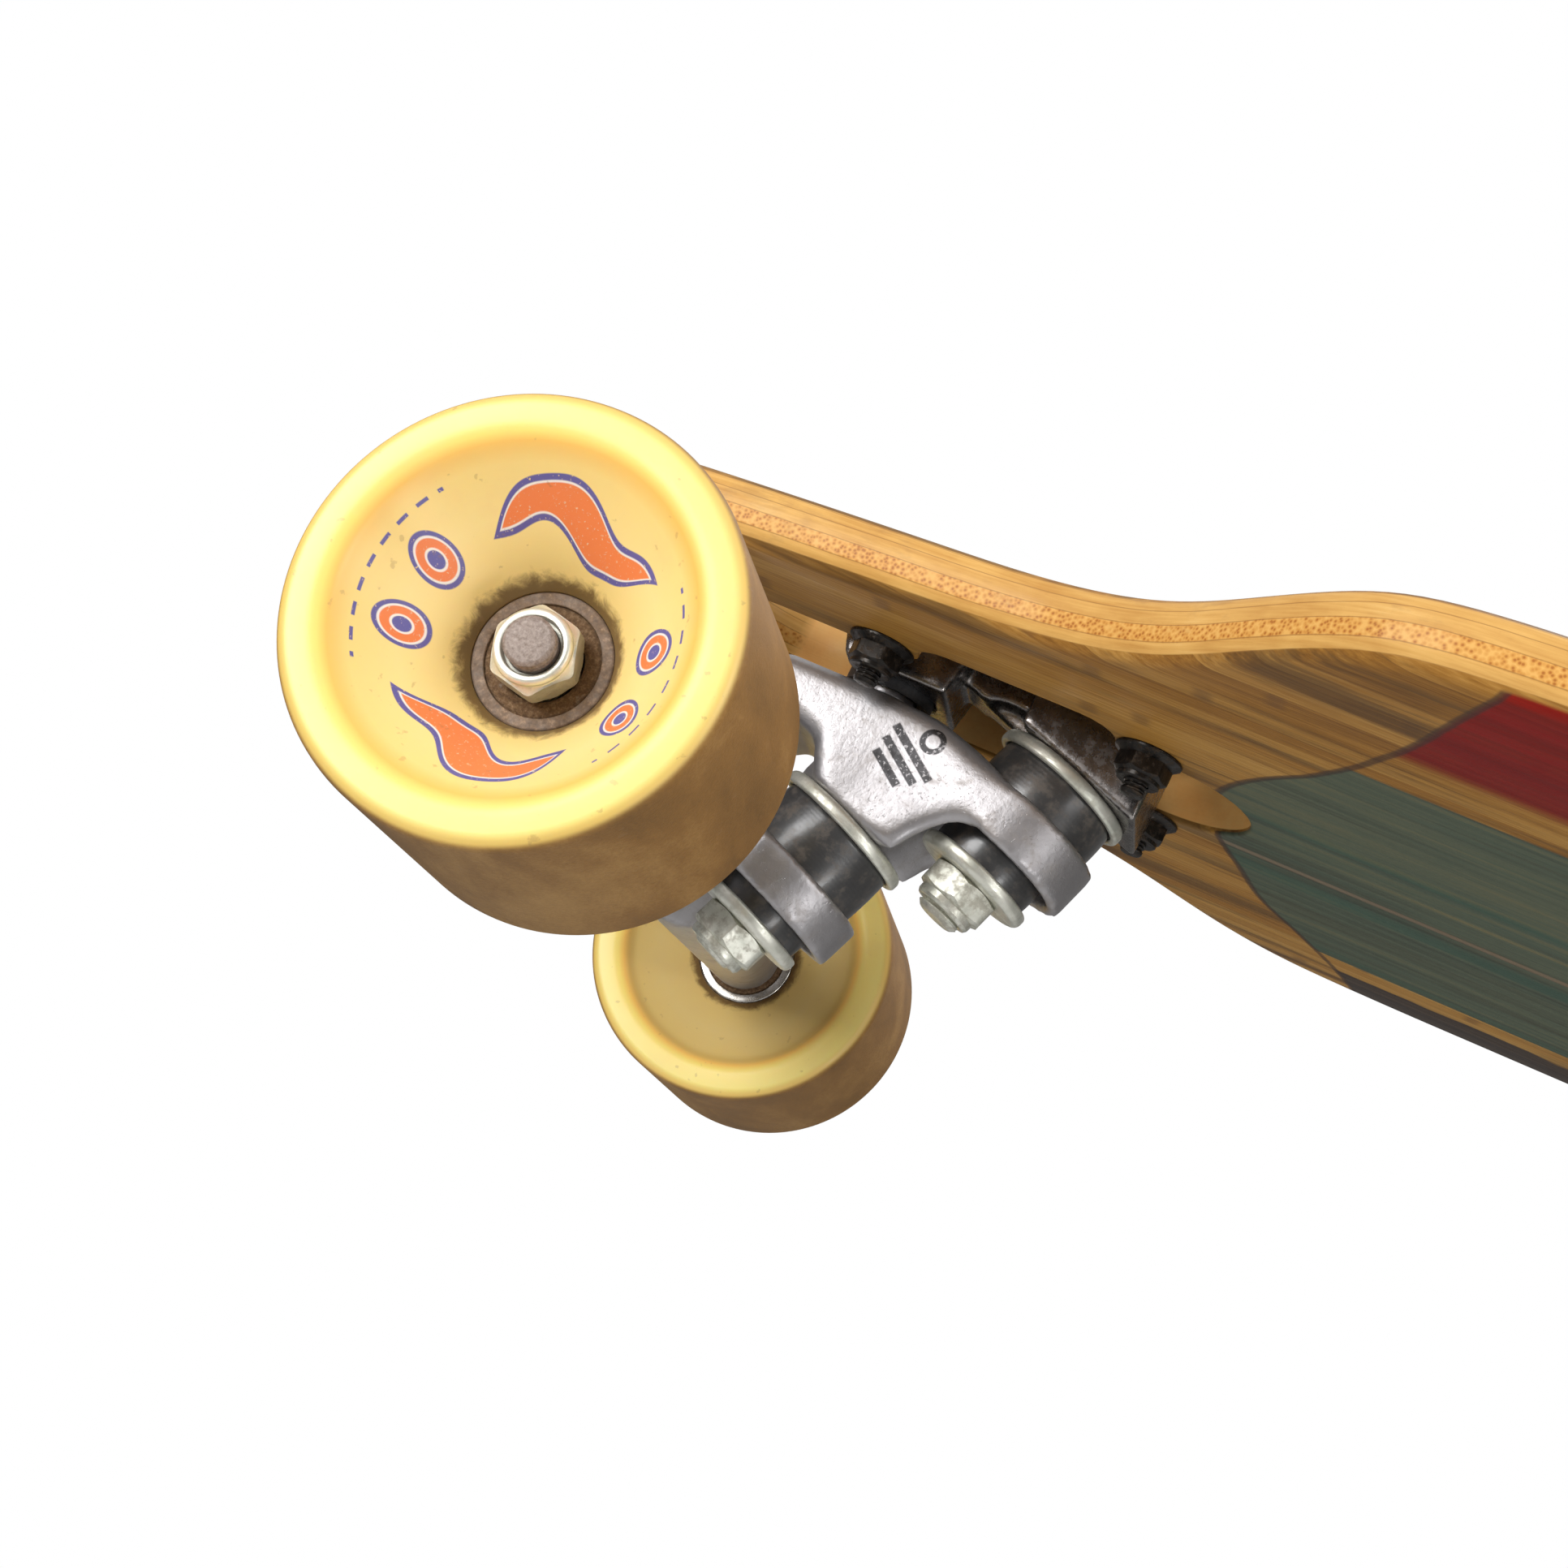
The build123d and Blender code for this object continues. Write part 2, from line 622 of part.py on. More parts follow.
# ---------------------------------------------------------------- hardware
def mounting_bolts():
    """Button-head socket screws through flange and deck."""
    top = DECK_THICKNESS + FLANGE_HEIGHT
    shank = disc(BOLT_RADIUS, -BOLT_TIP_LENGTH, top)
    head = disc(BOLT_HEAD_RADIUS, top, top + 2.6) - hex_prism(3.2, top + 0.8, top + 3)
    return corner_group(shank + head)


def mounting_nuts():
    """Flanged locknuts under the deck."""
    flange = disc(FLANGE_RADIUS, -FLANGE_THICKNESS, 0)
    shoulder = LOCKNUT_COLLAR - LOCKNUT_HEIGHT
    hexagon = hex_prism(LOCKNUT_ACROSS_FLATS, shoulder, -FLANGE_THICKNESS)
    collar = disc(4.3, -LOCKNUT_HEIGHT, shoulder)
    nut = flange + hexagon + collar - disc(BOLT_RADIUS, -10, 1)
    return corner_group(nut)


def corner_group(shape):
    corners = [(x, y) for x in (-BOLT_HALF_X, BOLT_HALF_X) for y in (-BOLT_HALF_Y, BOLT_HALF_Y)]
    return Compound([(Pos(x, y, 0) * shape).solid() for x, y in corners])


# ---------------------------------------------------------------- assembly
def truck():
    """All pieces of one truck in the truck frame, by plain name."""
    upper = stack(UPPER_RING, UPPER_TILT)
    lower = stack(LOWER_RING, LOWER_TILT)
    pieces = {
        "baseplate": baseplate(),
        "baseplate_pivot_cup": pivot_cup(UPPER_RING),
        "upper_kingpin": kingpin(upper, UPPER_HEAD_SEAT, UPPER_TIP),
        "upper_cup_washers": washers(upper, BOSS_FACE, UPPER_NUT_TOP),
        "upper_board_bushing": board_bushing(upper, BRIDGE_RING_WEB, BOSS_FACE),
        "upper_road_bushing": road_bushing(upper, UPPER_NUT_TOP, -BRIDGE_RING_WEB),
        "upper_kingpin_nut": kingpin_nut(upper, UPPER_NUT_TOP),
        "bridge": bridge(),
        "bridge_pivot_cup": pivot_cup(LOWER_RING),
        "lower_kingpin": kingpin(lower, LOWER_HEAD_SEAT, LOWER_TIP),
        "lower_cup_washers": washers(lower, SEAT_FACE, LOWER_NUT_TOP),
        "lower_board_bushing": board_bushing(lower, HANGER_RING_WEB, SEAT_FACE),
        "lower_road_bushing": road_bushing(lower, LOWER_NUT_TOP, -HANGER_RING_WEB),
        "lower_kingpin_nut": kingpin_nut(lower, LOWER_NUT_TOP),
        "hanger": hanger(),
    }
    pieces.update(axle_group())
    return pieces


def main():
    os.makedirs("parts", exist_ok=True)
    nodes = deck_layers()
    pieces = truck()
    for truck_name, end in TRUCKS.items():
        turn = 0 if end < 0 else 180
        place = Pos(end * TRUCK_X, 0, GROUND_CLEARANCE) * Rot(0, 0, turn)
        for name, shape in pieces.items():
            nodes[f"{truck_name}_{name}"] = place * shape
    for name, group in (("mounting_bolts", mounting_bolts()), ("mounting_nuts", mounting_nuts())):
        solids = []
        for end in TRUCKS.values():
            place = Pos(end * TRUCK_X, 0, GROUND_CLEARANCE + DECK_UNDERSIDE_Z)
            solids += [place * solid for solid in group.solids()]
        nodes[name] = Compound(solids)
    for name, shape in nodes.items():
        export_step(shape, f"parts/{name}.step")
    print(len(nodes), "nodes")


if __name__ == "__main__":
    main()
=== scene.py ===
"""Finishes a drop-through longboard: turned wheels and bearings, cast trucks, hardware, a
laminated bamboo board with stained graphics, and a plain studio around it."""
import json
from math import cos, pi, radians, sin

import bmesh
import bpy
import numpy as np
from bpy.props import FloatProperty, FloatVectorProperty, IntProperty, PointerProperty
from mathutils import Matrix, Vector
from mathutils.geometry import delaunay_2d_cdt


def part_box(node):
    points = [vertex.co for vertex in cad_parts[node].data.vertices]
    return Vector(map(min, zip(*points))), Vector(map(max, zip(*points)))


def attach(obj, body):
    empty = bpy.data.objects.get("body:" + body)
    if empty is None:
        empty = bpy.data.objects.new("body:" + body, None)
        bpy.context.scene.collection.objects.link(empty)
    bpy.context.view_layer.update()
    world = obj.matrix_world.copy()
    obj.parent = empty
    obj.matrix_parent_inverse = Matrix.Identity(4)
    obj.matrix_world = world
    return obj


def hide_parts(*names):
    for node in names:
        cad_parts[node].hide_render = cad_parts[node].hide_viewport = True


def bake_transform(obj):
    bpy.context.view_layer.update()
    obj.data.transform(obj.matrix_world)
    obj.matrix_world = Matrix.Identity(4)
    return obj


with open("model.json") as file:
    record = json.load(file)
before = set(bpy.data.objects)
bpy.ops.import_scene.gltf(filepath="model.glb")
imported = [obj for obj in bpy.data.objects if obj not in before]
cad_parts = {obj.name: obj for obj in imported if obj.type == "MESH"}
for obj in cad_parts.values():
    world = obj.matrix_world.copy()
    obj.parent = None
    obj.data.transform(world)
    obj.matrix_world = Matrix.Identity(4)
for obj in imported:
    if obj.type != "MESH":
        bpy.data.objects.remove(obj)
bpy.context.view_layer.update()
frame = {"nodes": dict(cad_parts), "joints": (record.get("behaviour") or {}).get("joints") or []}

bl_info = {
    "name": "Longboard finish",
    "version": (1, 0, 0),
    "blender": (4, 5, 0),
    "location": "View3D > Sidebar > Longboard",
    "description": "Builds the visible pieces, finishes and studio of a drop-through longboard",
    "category": "Object",
}

MM = 0.001
TRUCKS = {"front": -1, "rear": 1}
SIDES = {"left": -1, "right": 1}
JOINTS = {joint["name"]: joint for joint in frame["joints"]}


# ---------------------------------------------------------------- places from the frame
def box_centre(node):
    low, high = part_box(node)
    return (low + high) / 2


TRUCK_X = box_centre("rear_baseplate").x / MM
AXLE_HEIGHT = box_centre("rear_axle").z / MM
DECK_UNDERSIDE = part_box("deck_bottom_ply")[0].z / MM
BOARD_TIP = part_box("deck_core")[1].x / MM
BOARD_HALF_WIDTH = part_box("deck_core")[1].y / MM
AXLE_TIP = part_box("rear_axle")[1].y / MM
BEARING_SPAN = 24.5  # two bearings and the spacer between them
BEARING_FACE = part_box("rear_bearing_inner_races")[1].y / MM - BEARING_SPAN
HANGER_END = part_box("rear_hanger")[1].y / MM
BADGE_X = 0.0148  # badge on a bridge's cheek: distance outboard of the bolts, in metres
BADGE_Z = AXLE_HEIGHT * MM + 0.03285  # its height over the ground, in metres

# sizes in millimetres of parts that standards or the castings fix
BEARING_WIDTH = 7.0
BEARING_RADIUS = 11.0
WASHER_THICKNESS = 0.8
AXLE_RADIUS = 3.97
AXLE_PITCH = 1.06
KINGPIN_RADIUS = 4.7
KINGPIN_BORE = 4.75
KINGPIN_NUT_FLATS = 14.3
HEX_FLATS = 12.7
BOARD_CUP_RADIUS = 15.0
ROAD_CUP_RADIUS = 12.6
BOARD_BUSHING_RADIUS = 13.35
ROAD_BUSHING_RADIUS = 11.15
BOLT_RADIUS = 2.38
BOLT_PITCH = 0.8
BOLT_NUT_FLATS = 9.5
BOLT_PATTERN = (27.0, 20.64)
CHEEK_HALF_WIDTH = 14.0
BRIDGE_RING_RADIUS = 16.3
CHEEK_BLEND = 27.0  # length of the run from a bridge's cheek into its ring
GRID_STEPS = 3  # cells of a slab's faces, in steps of its edge

# lengths in metres of the deck's stain and strips
STRIP_WIDTH = 0.0052
ARC_REACH = 0.12


def body_name(truck, part):
    """Name of a body: the root is shared, the others belong to a truck."""
    return part if part == "root" else f"{truck}_{part}"


def truck_matrix(end):
    """Row frame from a truck's own frame: +X towards the middle of the board, Z from the ground."""
    turn = Matrix.Rotation(0 if end < 0 else pi, 4, "Z")
    return Matrix.Translation((end * TRUCK_X * MM, 0, 0)) @ turn @ Matrix.Scale(MM, 4)


def axle_matrix(end, side):
    """Frame on the axle line with +Z outwards to one side and +X up, in millimetres."""
    along = Vector((0, side, 0))
    up = Vector((0, 0, 1))
    across = along.cross(up)
    turn = Matrix((up, across, along)).transposed().to_4x4()
    place = Vector((box_centre(("front" if end < 0 else "rear") + "_axle").x, 0, AXLE_HEIGHT * MM))
    return Matrix.Translation(place) @ turn @ Matrix.Scale(MM, 4)


def kingpin_matrix(end, stage):
    """Frame at a bushing ring's centre with +Z up its kingpin, in millimetres."""
    truck = "front" if end < 0 else "rear"
    joint = JOINTS[truck + ("_bridge_steer" if stage == "upper" else "_hanger_steer")]
    sizes = bpy.context.scene.longboard_trucks
    tilt = sizes.upper_tilt if stage == "upper" else sizes.lower_tilt
    turn = Matrix.Rotation(0 if end < 0 else pi, 4, "Z") @ Matrix.Rotation(tilt, 4, "Y")
    return Matrix.Translation(Vector(joint["pos_m"])) @ turn @ Matrix.Scale(MM, 4)


# ---------------------------------------------------------------- mesh building
def grid_faces(rows, columns, wrap_rows=False, wrap_columns=False, offset=0):
    """Quads of a rows by columns grid of points, optionally closed either way."""
    r = np.arange(rows if wrap_rows else rows - 1)
    c = np.arange(columns if wrap_columns else columns - 1)
    r, c = np.meshgrid(r, c, indexing="ij")
    r, c = r.ravel(), c.ravel()
    nr, nc = (r + 1) % rows, (c + 1) % columns
    quads = np.stack([r * columns + c, r * columns + nc, nr * columns + nc, nr * columns + c], 1)
    return quads + offset


def rounded(points, radii, steps=5):
    """Polyline with each inner corner replaced by a circular arc of its own radius.
    An arc touches both legs; its points are the corner's tangent points turned about
    the arc's centre in equal steps."""
    points = [np.array(p, float) for p in points]
    result = [points[0]]
    for before, corner, after, radius in zip(points, points[1:], points[2:], radii):
        if radius <= 0:
            result.append(corner)
            continue
        a = (before - corner) / np.linalg.norm(before - corner)
        b = (after - corner) / np.linalg.norm(after - corner)
        half = np.arccos(np.clip(a @ b, -1, 1)) / 2
        if half > pi / 2 - 1e-3:
            result.append(corner)
            continue
        reach = radius / np.tan(half)
        middle = corner + (a + b) / np.linalg.norm(a + b) * radius / np.sin(half)
        start, stop = corner + a * reach - middle, corner + b * reach - middle
        t = np.linspace(0, 1, steps + 1)[:, None]
        sweep = np.arccos(np.clip(start @ stop / radius**2, -1, 1))
        arc = (np.sin((1 - t) * sweep) * start + np.sin(t * sweep) * stop) / np.sin(sweep)
        result.extend(middle + arc)
    result.append(points[-1])
    return np.array(result)


def closed_rounded(points, radii, steps=5):
    """Closed polygon with every corner rounded."""
    first = (np.array(points[0], float) + np.array(points[-1], float)) / 2
    line = rounded([first, *points, first], radii, steps)
    return line[:-1]


def even_loop(loop, spacing):
    """Closed loop resampled at equal steps of arc length."""
    closed = np.vstack([loop, loop[:1]])
    length = np.concatenate([[0], np.cumsum(np.linalg.norm(np.diff(closed, axis=0), axis=1))])
    count = int(round(length[-1] / spacing))
    at = np.linspace(0, length[-1], count, endpoint=False)
    return np.stack([np.interp(at, length, closed[:, k]) for k in range(2)], 1)


def turned(profile, segments=96, closed=False, wave=None):
    """Surface of revolution about Z. The profile's points are (radius, height); a point is
    (r cos t, r sin t, h) for t round the circle. wave(r, h, t) may change the radius."""
    profile = np.asarray(profile, float)
    t = np.linspace(0, 2 * pi, segments, endpoint=False)
    r, angle = np.meshgrid(profile[:, 0], t, indexing="ij")
    h = np.repeat(profile[:, 1:2], segments, 1)
    if wave:
        r = wave(r, h, angle)
    verts = np.stack([r * np.cos(angle), r * np.sin(angle), h], -1).reshape(-1, 3)
    return verts, grid_faces(len(profile), segments, wrap_rows=closed, wrap_columns=True)


def make_piece(name, copies, body, material, replaced=(), attributes=None, smooth=35.0):
    """One mesh object from copies of local surfaces, each (points, faces, matrix), that
    rides on a CAD body. Local points are kept in the attribute called local, in metres.
    Other attributes are functions of the local points in millimetres."""
    points, places, faces, start = [], [], [], 0
    for local, quads, matrix in copies:
        world = np.array(matrix, float)
        points.append(np.asarray(local, float))
        places.append(points[-1] @ world[:3, :3].T + world[:3, 3])
        corners = np.asarray(quads, object).tolist()
        faces += [[corner + start for corner in face] for face in corners]
        start += len(local)
    points = np.vstack(points)
    mesh = bpy.data.meshes.new(name)
    mesh.from_pydata(np.vstack(places).tolist(), [], faces)
    local = mesh.attributes.new("local", "FLOAT_VECTOR", "POINT")
    local.data.foreach_set("vector", (points * MM).astype(np.float32).ravel())
    for key, rule in (attributes or {}).items():
        attribute = mesh.attributes.new(key, "FLOAT", "POINT")
        attribute.data.foreach_set("value", np.asarray(rule(points), np.float32))
    tidy_mesh(mesh, smooth)
    piece = bpy.data.objects.new(name, mesh)
    bpy.context.scene.collection.objects.link(piece)
    mesh.materials.append(material)
    if body:
        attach(piece, body)
    if replaced:
        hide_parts(*replaced)
    return piece


def tidy_mesh(mesh, smooth):
    """Merges doubles, drops empty faces, points faces outwards and shades smooth below an angle."""
    work = bmesh.new()
    work.from_mesh(mesh)
    bmesh.ops.remove_doubles(work, verts=work.verts, dist=2e-6)
    bmesh.ops.dissolve_degenerate(work, edges=work.edges, dist=1e-7)
    bmesh.ops.recalc_face_normals(work, faces=work.faces)
    for face in work.faces:
        face.smooth = True
    limit = radians(smooth)
    for edge in work.edges:
        edge.smooth = edge.is_manifold and edge.calc_face_angle(0) < limit
    work.to_mesh(mesh)
    work.free()


# ---------------------------------------------------------------- shader graph helper
class Value:
    """A number or colour in a node tree. Arithmetic on it adds math nodes."""

    def __init__(self, finish, socket):
        self.finish, self.socket = finish, socket

    def __add__(self, other):
        return self.finish.math("ADD", self, other)

    def __sub__(self, other):
        return self.finish.math("SUBTRACT", self, other)

    def __rsub__(self, other):
        return self.finish.math("SUBTRACT", other, self)

    def __mul__(self, other):
        return self.finish.math("MULTIPLY", self, other)

    def __truediv__(self, other):
        return self.finish.math("DIVIDE", self, other)

    def __abs__(self):
        return self.finish.math("ABSOLUTE", self)

    __radd__, __rmul__ = __add__, __mul__


class Finish:
    """Small builder for a material's node tree."""

    def __init__(self, name):
        self.material = bpy.data.materials.new(name)
        self.material.use_nodes = True
        self.tree = self.material.node_tree
        self.shader = self.tree.nodes["Principled BSDF"]

    def node(self, kind, inputs=None, **settings):
        node = self.tree.nodes.new(kind)
        for key, value in settings.items():
            setattr(node, key, value)
        for key, value in (inputs or {}).items():
            self.feed(node.inputs[key], value)
        return node

    def read(self, node, output):
        return Value(self, node.outputs[output])

    def feed(self, socket, value):
        if isinstance(value, Value):
            self.tree.links.new(value.socket, socket)
        elif isinstance(value, (tuple, list)) and len(value) == 3 and socket.type == "RGBA":
            socket.default_value = (*value, 1.0)
        else:
            socket.default_value = value

    def position(self, scale=(1, 1, 1), turn=(0, 0, 0), attribute=None, move=(0, 0, 0)):
        if attribute:
            source = self.read(self.node("ShaderNodeAttribute", attribute_name=attribute), "Vector")
        else:
            source = self.read(self.node("ShaderNodeTexCoord"), "Object")
        mapping = self.node("ShaderNodeMapping", {"Vector": source, "Scale": scale,
                                                  "Rotation": turn, "Location": move})
        return self.read(mapping, "Vector")

    def value(self, attribute):
        return self.read(self.node("ShaderNodeAttribute", attribute_name=attribute), "Fac")

    def axes(self, vector):
        split = self.node("ShaderNodeSeparateXYZ", {"Vector": vector})
        return [self.read(split, axis) for axis in "XYZ"]

    def math(self, operation, a, b=0.0, c=0.0, clamp=False):
        node = self.node("ShaderNodeMath", operation=operation, use_clamp=clamp)
        for socket, value in zip(node.inputs, (a, b, c)):
            self.feed(socket, value)
        return self.read(node, "Value")

    def length(self, a, b):
        """sqrt(a^2 + b^2)"""
        return self.math("SQRT", a * a + b * b)

    def between(self, value, low, high, soft):
        """1 inside a band, with soft sides."""
        rise = self.step(value, low, soft)
        fall = self.step(value, high, soft)
        return self.math("SUBTRACT", rise, fall, clamp=True)

    def step(self, value, edge, soft):
        """0 below an edge, 1 above it, over a soft width."""
        node = self.node("ShaderNodeMapRange", interpolation_type="SMOOTHSTEP")
        self.feed(node.inputs["Value"], value)
        self.feed(node.inputs["From Min"], edge - soft / 2)
        self.feed(node.inputs["From Max"], edge + soft / 2)
        return self.read(node, "Result")

    def noise(self, vector, scale, detail=4.0, roughness=0.55, distortion=0.0):
        inputs = {"Vector": vector, "Scale": scale, "Detail": detail, "Roughness": roughness,
                  "Distortion": distortion}
        return self.read(self.node("ShaderNodeTexNoise", inputs), "Fac")

    def cells(self, vector, scale):
        """Distance to the nearest of a field of scattered points."""
        return self.read(self.node("ShaderNodeTexVoronoi", {"Vector": vector, "Scale": scale}),
                         "Distance")

    def ramp(self, factor, stops):
        """Colours blended along a factor, from stops of (place, colour)."""
        node = self.node("ShaderNodeValToRGB", {"Fac": factor})
        elements = node.color_ramp.elements
        while len(elements) < len(stops):
            elements.new(0.5)
        for element, (place, colour) in zip(elements, stops):
            element.position = place
            element.color = (*colour, 1.0)
        return self.read(node, "Color")

    def mix(self, factor, a, b):
        """Colour a where the factor is 0 and b where it is 1."""
        node = self.node("ShaderNodeMix", data_type="RGBA", clamp_factor=True)
        self.feed(node.inputs[0], factor)
        self.feed(node.inputs[6], a)
        self.feed(node.inputs[7], b)
        return self.read(node, 2)

    def bump(self, height, distance, strength=1.0, normal=None):
        node = self.node("ShaderNodeBump", {"Height": height, "Distance": distance,
                                            "Strength": strength})
        if normal:
            self.feed(node.inputs["Normal"], normal)
        return self.read(node, "Normal")

    def set(self, **values):
        names = {
            "colour": "Base Color", "metallic": "Metallic", "roughness": "Roughness",
            "normal": "Normal", "coat": "Coat Weight", "coat_roughness": "Coat Roughness",
            "specular": "Specular IOR Level", "scatter": "Subsurface Weight",
            "scatter_scale": "Subsurface Scale", "scatter_radius": "Subsurface Radius",
        }
        for key, value in values.items():
            self.feed(self.shader.inputs[names[key]], value)
        return self.material


# ---------------------------------------------------------------- finishes
def zinc_finish(name, grime=0.5):
    """Plated steel: greenish silver, mottled, with brown grime in patches and fine scratches."""
    f = Finish(name)
    at = f.position()
    mottle = f.noise(at, 260, 5)
    dirt = f.step(f.noise(at, 420, 6, 0.65), 0.62 - 0.12 * grime, 0.22)
    plate = f.ramp(mottle, [(0.3, (0.66, 0.67, 0.58)), (0.55, (0.83, 0.83, 0.74)),
                            (0.75, (0.94, 0.93, 0.84))])
    f.set(colour=f.mix(dirt * 0.55 * grime, plate, (0.20, 0.15, 0.09)), metallic=0.7)
    scratch = f.noise(f.position((1, 1, 9)), 600, 3)
    f.set(roughness=dirt * 0.22 + scratch * 0.2 + 0.27)
    return f.set(normal=f.bump(scratch + mottle, 0.00005, 0.5))


def cast_finish(name, marked=False):
    """Tumbled aluminium casting: soft silver with a fine orange peel, pits and faint grime.
    A marked one carries three plain bars on both cheeks."""
    f = Finish(name)
    at = f.position()
    peel = f.noise(at, 900, 3, 0.6)
    broad = f.noise(at, 60, 4)
    pits = f.step(f.noise(at, 1500, 2, 0.5), 0.33, 0.05)
    colour = f.ramp(broad, [(0.3, (0.40, 0.385, 0.395)), (0.6, (0.49, 0.475, 0.485)),
                            (0.8, (0.55, 0.53, 0.53))])
    grime = f.step(f.noise(at, 140, 6, 0.7, 0.4), 0.6, 0.2)
    colour = f.mix(grime * 0.35, colour, (0.30, 0.25, 0.20))
    if marked:
        colour = f.mix(cheek_bars(f), colour, (0.035, 0.034, 0.036))
    f.set(colour=colour, metallic=0.82)
    f.set(roughness=grime * 0.15 + peel * 0.14 + 0.34)
    first = f.bump(peel, 0.00016, 0.4)
    return f.set(normal=f.bump(pits, 0.0001, 0.35, first))


def cheek_bars(f):
    """Mask of a worn plain badge on a cheek: a ring and three bars, by a truck's own position."""
    x, y, z = f.axes(f.position(attribute="truck"))
    x = x + BADGE_X
    z = z - BADGE_Z
    along = x * 0.80 + z * (-0.60)
    across = x * 0.60 + z * 0.80
    mask = 0.0
    for centre, reach in ((0.0012, 0.0066), (-0.0016, 0.0056), (-0.0044, 0.0042)):
        bar = f.between(across, centre - 0.00085, centre + 0.00085, 0.0003)
        mask = f.math("MAXIMUM", mask, bar * f.between(along, -reach, reach, 0.0004))
    up = across - 0.0056
    ring = f.length(along, up)
    mask = f.math("MAXIMUM", mask, f.between(ring, 0.0014, 0.0026, 0.0003))
    chips = f.step(f.noise(f.position(), 1400, 4, 0.7), 0.40, 0.08)
    flat = f.step(abs(y), 0.0125, 0.0006)
    return mask * flat * (chips * 0.6 + 0.35)


def gunmetal_finish(name):
    """Black nickel over a casting: dark and glossy, dusty, with its edges painted bright: partly
    rubbed wear, partly a painted highlight.
    """
    f = Finish(name)
    at = f.position()
    edge = f.read(f.node("ShaderNodeNewGeometry"), "Pointiness")
    # Edges lightened by pointiness: partly rubbed wear, partly a painted highlight on the rims.
    rubbed = f.step(edge, 0.545, 0.05)
    blotch = f.noise(at, 190, 6, 0.65)
    base = f.ramp(blotch, [(0.3, (0.15, 0.138, 0.133)), (0.55, (0.24, 0.223, 0.215)),
                           (0.75, (0.33, 0.308, 0.296))])
    dust = f.step(f.noise(at, 700, 6, 0.7), 0.56, 0.15)
    base = f.mix(dust * 0.08, base, (0.16, 0.13, 0.11))
    f.set(colour=f.mix(rubbed * 0.5, base, (0.72, 0.68, 0.65)), metallic=0.95)
    f.set(roughness=dust * 0.15 + blotch * 0.16 + 0.17)
    return f.set(normal=f.bump(f.noise(at, 900, 3), 0.00008, 0.35))


def stub_finish(name):
    """Bare axle steel gone dull and brown, with fine pits and rust in the thread roots."""
    f = Finish(name)
    at = f.position()
    rust = f.noise(at, 1500, 6, 0.7)
    film = f.noise(at, 420, 5, 0.6)
    colour = f.ramp(rust, [(0.35, (0.15, 0.105, 0.08)), (0.55, (0.29, 0.235, 0.205)),
                           (0.75, (0.42, 0.36, 0.32))])
    f.set(colour=f.mix(film * 0.3, colour, (0.34, 0.30, 0.28)), metallic=0.35, roughness=0.62)
    return f.set(normal=f.bump(rust, 0.00008, 0.6))


def oxide_finish(name):
    """Black-oxide steel with oily sheen, brown dust and rubbed high spots."""
    f = Finish(name)
    at = f.position()
    wear = f.step(f.noise(at, 500, 6, 0.7), 0.66, 0.08)
    dust = f.step(f.noise(at, 900, 5, 0.7), 0.57, 0.16)
    base = f.ramp(f.noise(at, 240, 4), [(0.3, (0.012, 0.011, 0.010)), (0.7, (0.045, 0.040, 0.036))])
    base = f.mix(dust * 0.3, base, (0.14, 0.09, 0.05))
    f.set(colour=f.mix(wear * 0.5, base, (0.36, 0.31, 0.27)), metallic=0.75)
    f.set(roughness=dust * 0.3 + 0.3)
    return f.set(normal=f.bump(dust, 0.00006, 0.5))


def bearing_finish(name, grimy=None):
    """Ground bearing steel, faintly banded round the axle, with a film of oil.
    An attribute can name where it is caked in brown road dust instead."""
    f = Finish(name)
    band = f.noise(f.position((1, 14, 1)), 500, 3)
    film = f.noise(f.position(), 300, 5)
    steel = f.ramp(film, [(0.35, (0.30, 0.27, 0.23)), (0.6, (0.62, 0.60, 0.57)),
                          (0.8, (0.74, 0.73, 0.70))])
    cake = f.math("MULTIPLY_ADD", f.noise(f.position(), 900, 6, 0.7), 0.3, 0.72, clamp=True)
    cake = f.value(grimy) * cake if grimy else 0.0
    dust = f.ramp(f.noise(f.position(), 1300, 6, 0.7), [(0.35, (0.085, 0.043, 0.018)),
                                                        (0.55, (0.17, 0.095, 0.045)),
                                                        (0.72, (0.34, 0.22, 0.125))])
    f.set(colour=f.mix(cake, steel, dust),
          metallic=f.math("MULTIPLY_ADD", cake, -0.95, 0.95, clamp=True))
    f.set(roughness=cake * 0.45 + band * 0.25 + 0.14)
    return f.set(normal=f.bump(band, 0.00003, 0.4))


def shield_finish(name):
    """Pressed bearing shield under baked brown grit."""
    f = Finish(name)
    at = f.position()
    grit = f.noise(at, 1300, 7, 0.75)
    cake = f.noise(at, 260, 5, 0.6)
    dirt = f.ramp(grit, [(0.3, (0.055, 0.028, 0.012)), (0.5, (0.15, 0.085, 0.040)),
                         (0.7, (0.32, 0.21, 0.12))])
    bare = f.step(cake, 0.66, 0.08)
    f.set(colour=f.mix(bare * 0.4, dirt, (0.40, 0.36, 0.31)), metallic=bare * 0.7)
    f.set(roughness=bare * -0.4 + 0.85)
    return f.set(normal=f.bump(grit, 0.0004, 0.8))


def rubber_finish(name):
    """Glossy black bushing with brown dust round its rims and faint moulding rings."""
    f = Finish(name)
    at = f.position()
    dust = f.step(f.noise(at, 330, 6, 0.7), 0.57, 0.2)
    colour = f.mix(dust * 0.34, (0.044, 0.043, 0.043), (0.23, 0.18, 0.135))
    f.set(colour=colour, specular=0.7, coat=0.6, coat_roughness=0.2)
    f.set(roughness=dust * 0.3 + 0.34)
    waves = {"Vector": f.position(attribute="local"), "Scale": 380.0, "Distortion": 1.5}
    rings = f.read(f.node("ShaderNodeTexWave", waves, wave_type="BANDS", bands_direction="Z"),
                   "Fac")
    return f.set(normal=f.bump(rings * 0.3 + f.noise(at, 800, 4), 0.00006, 0.4))


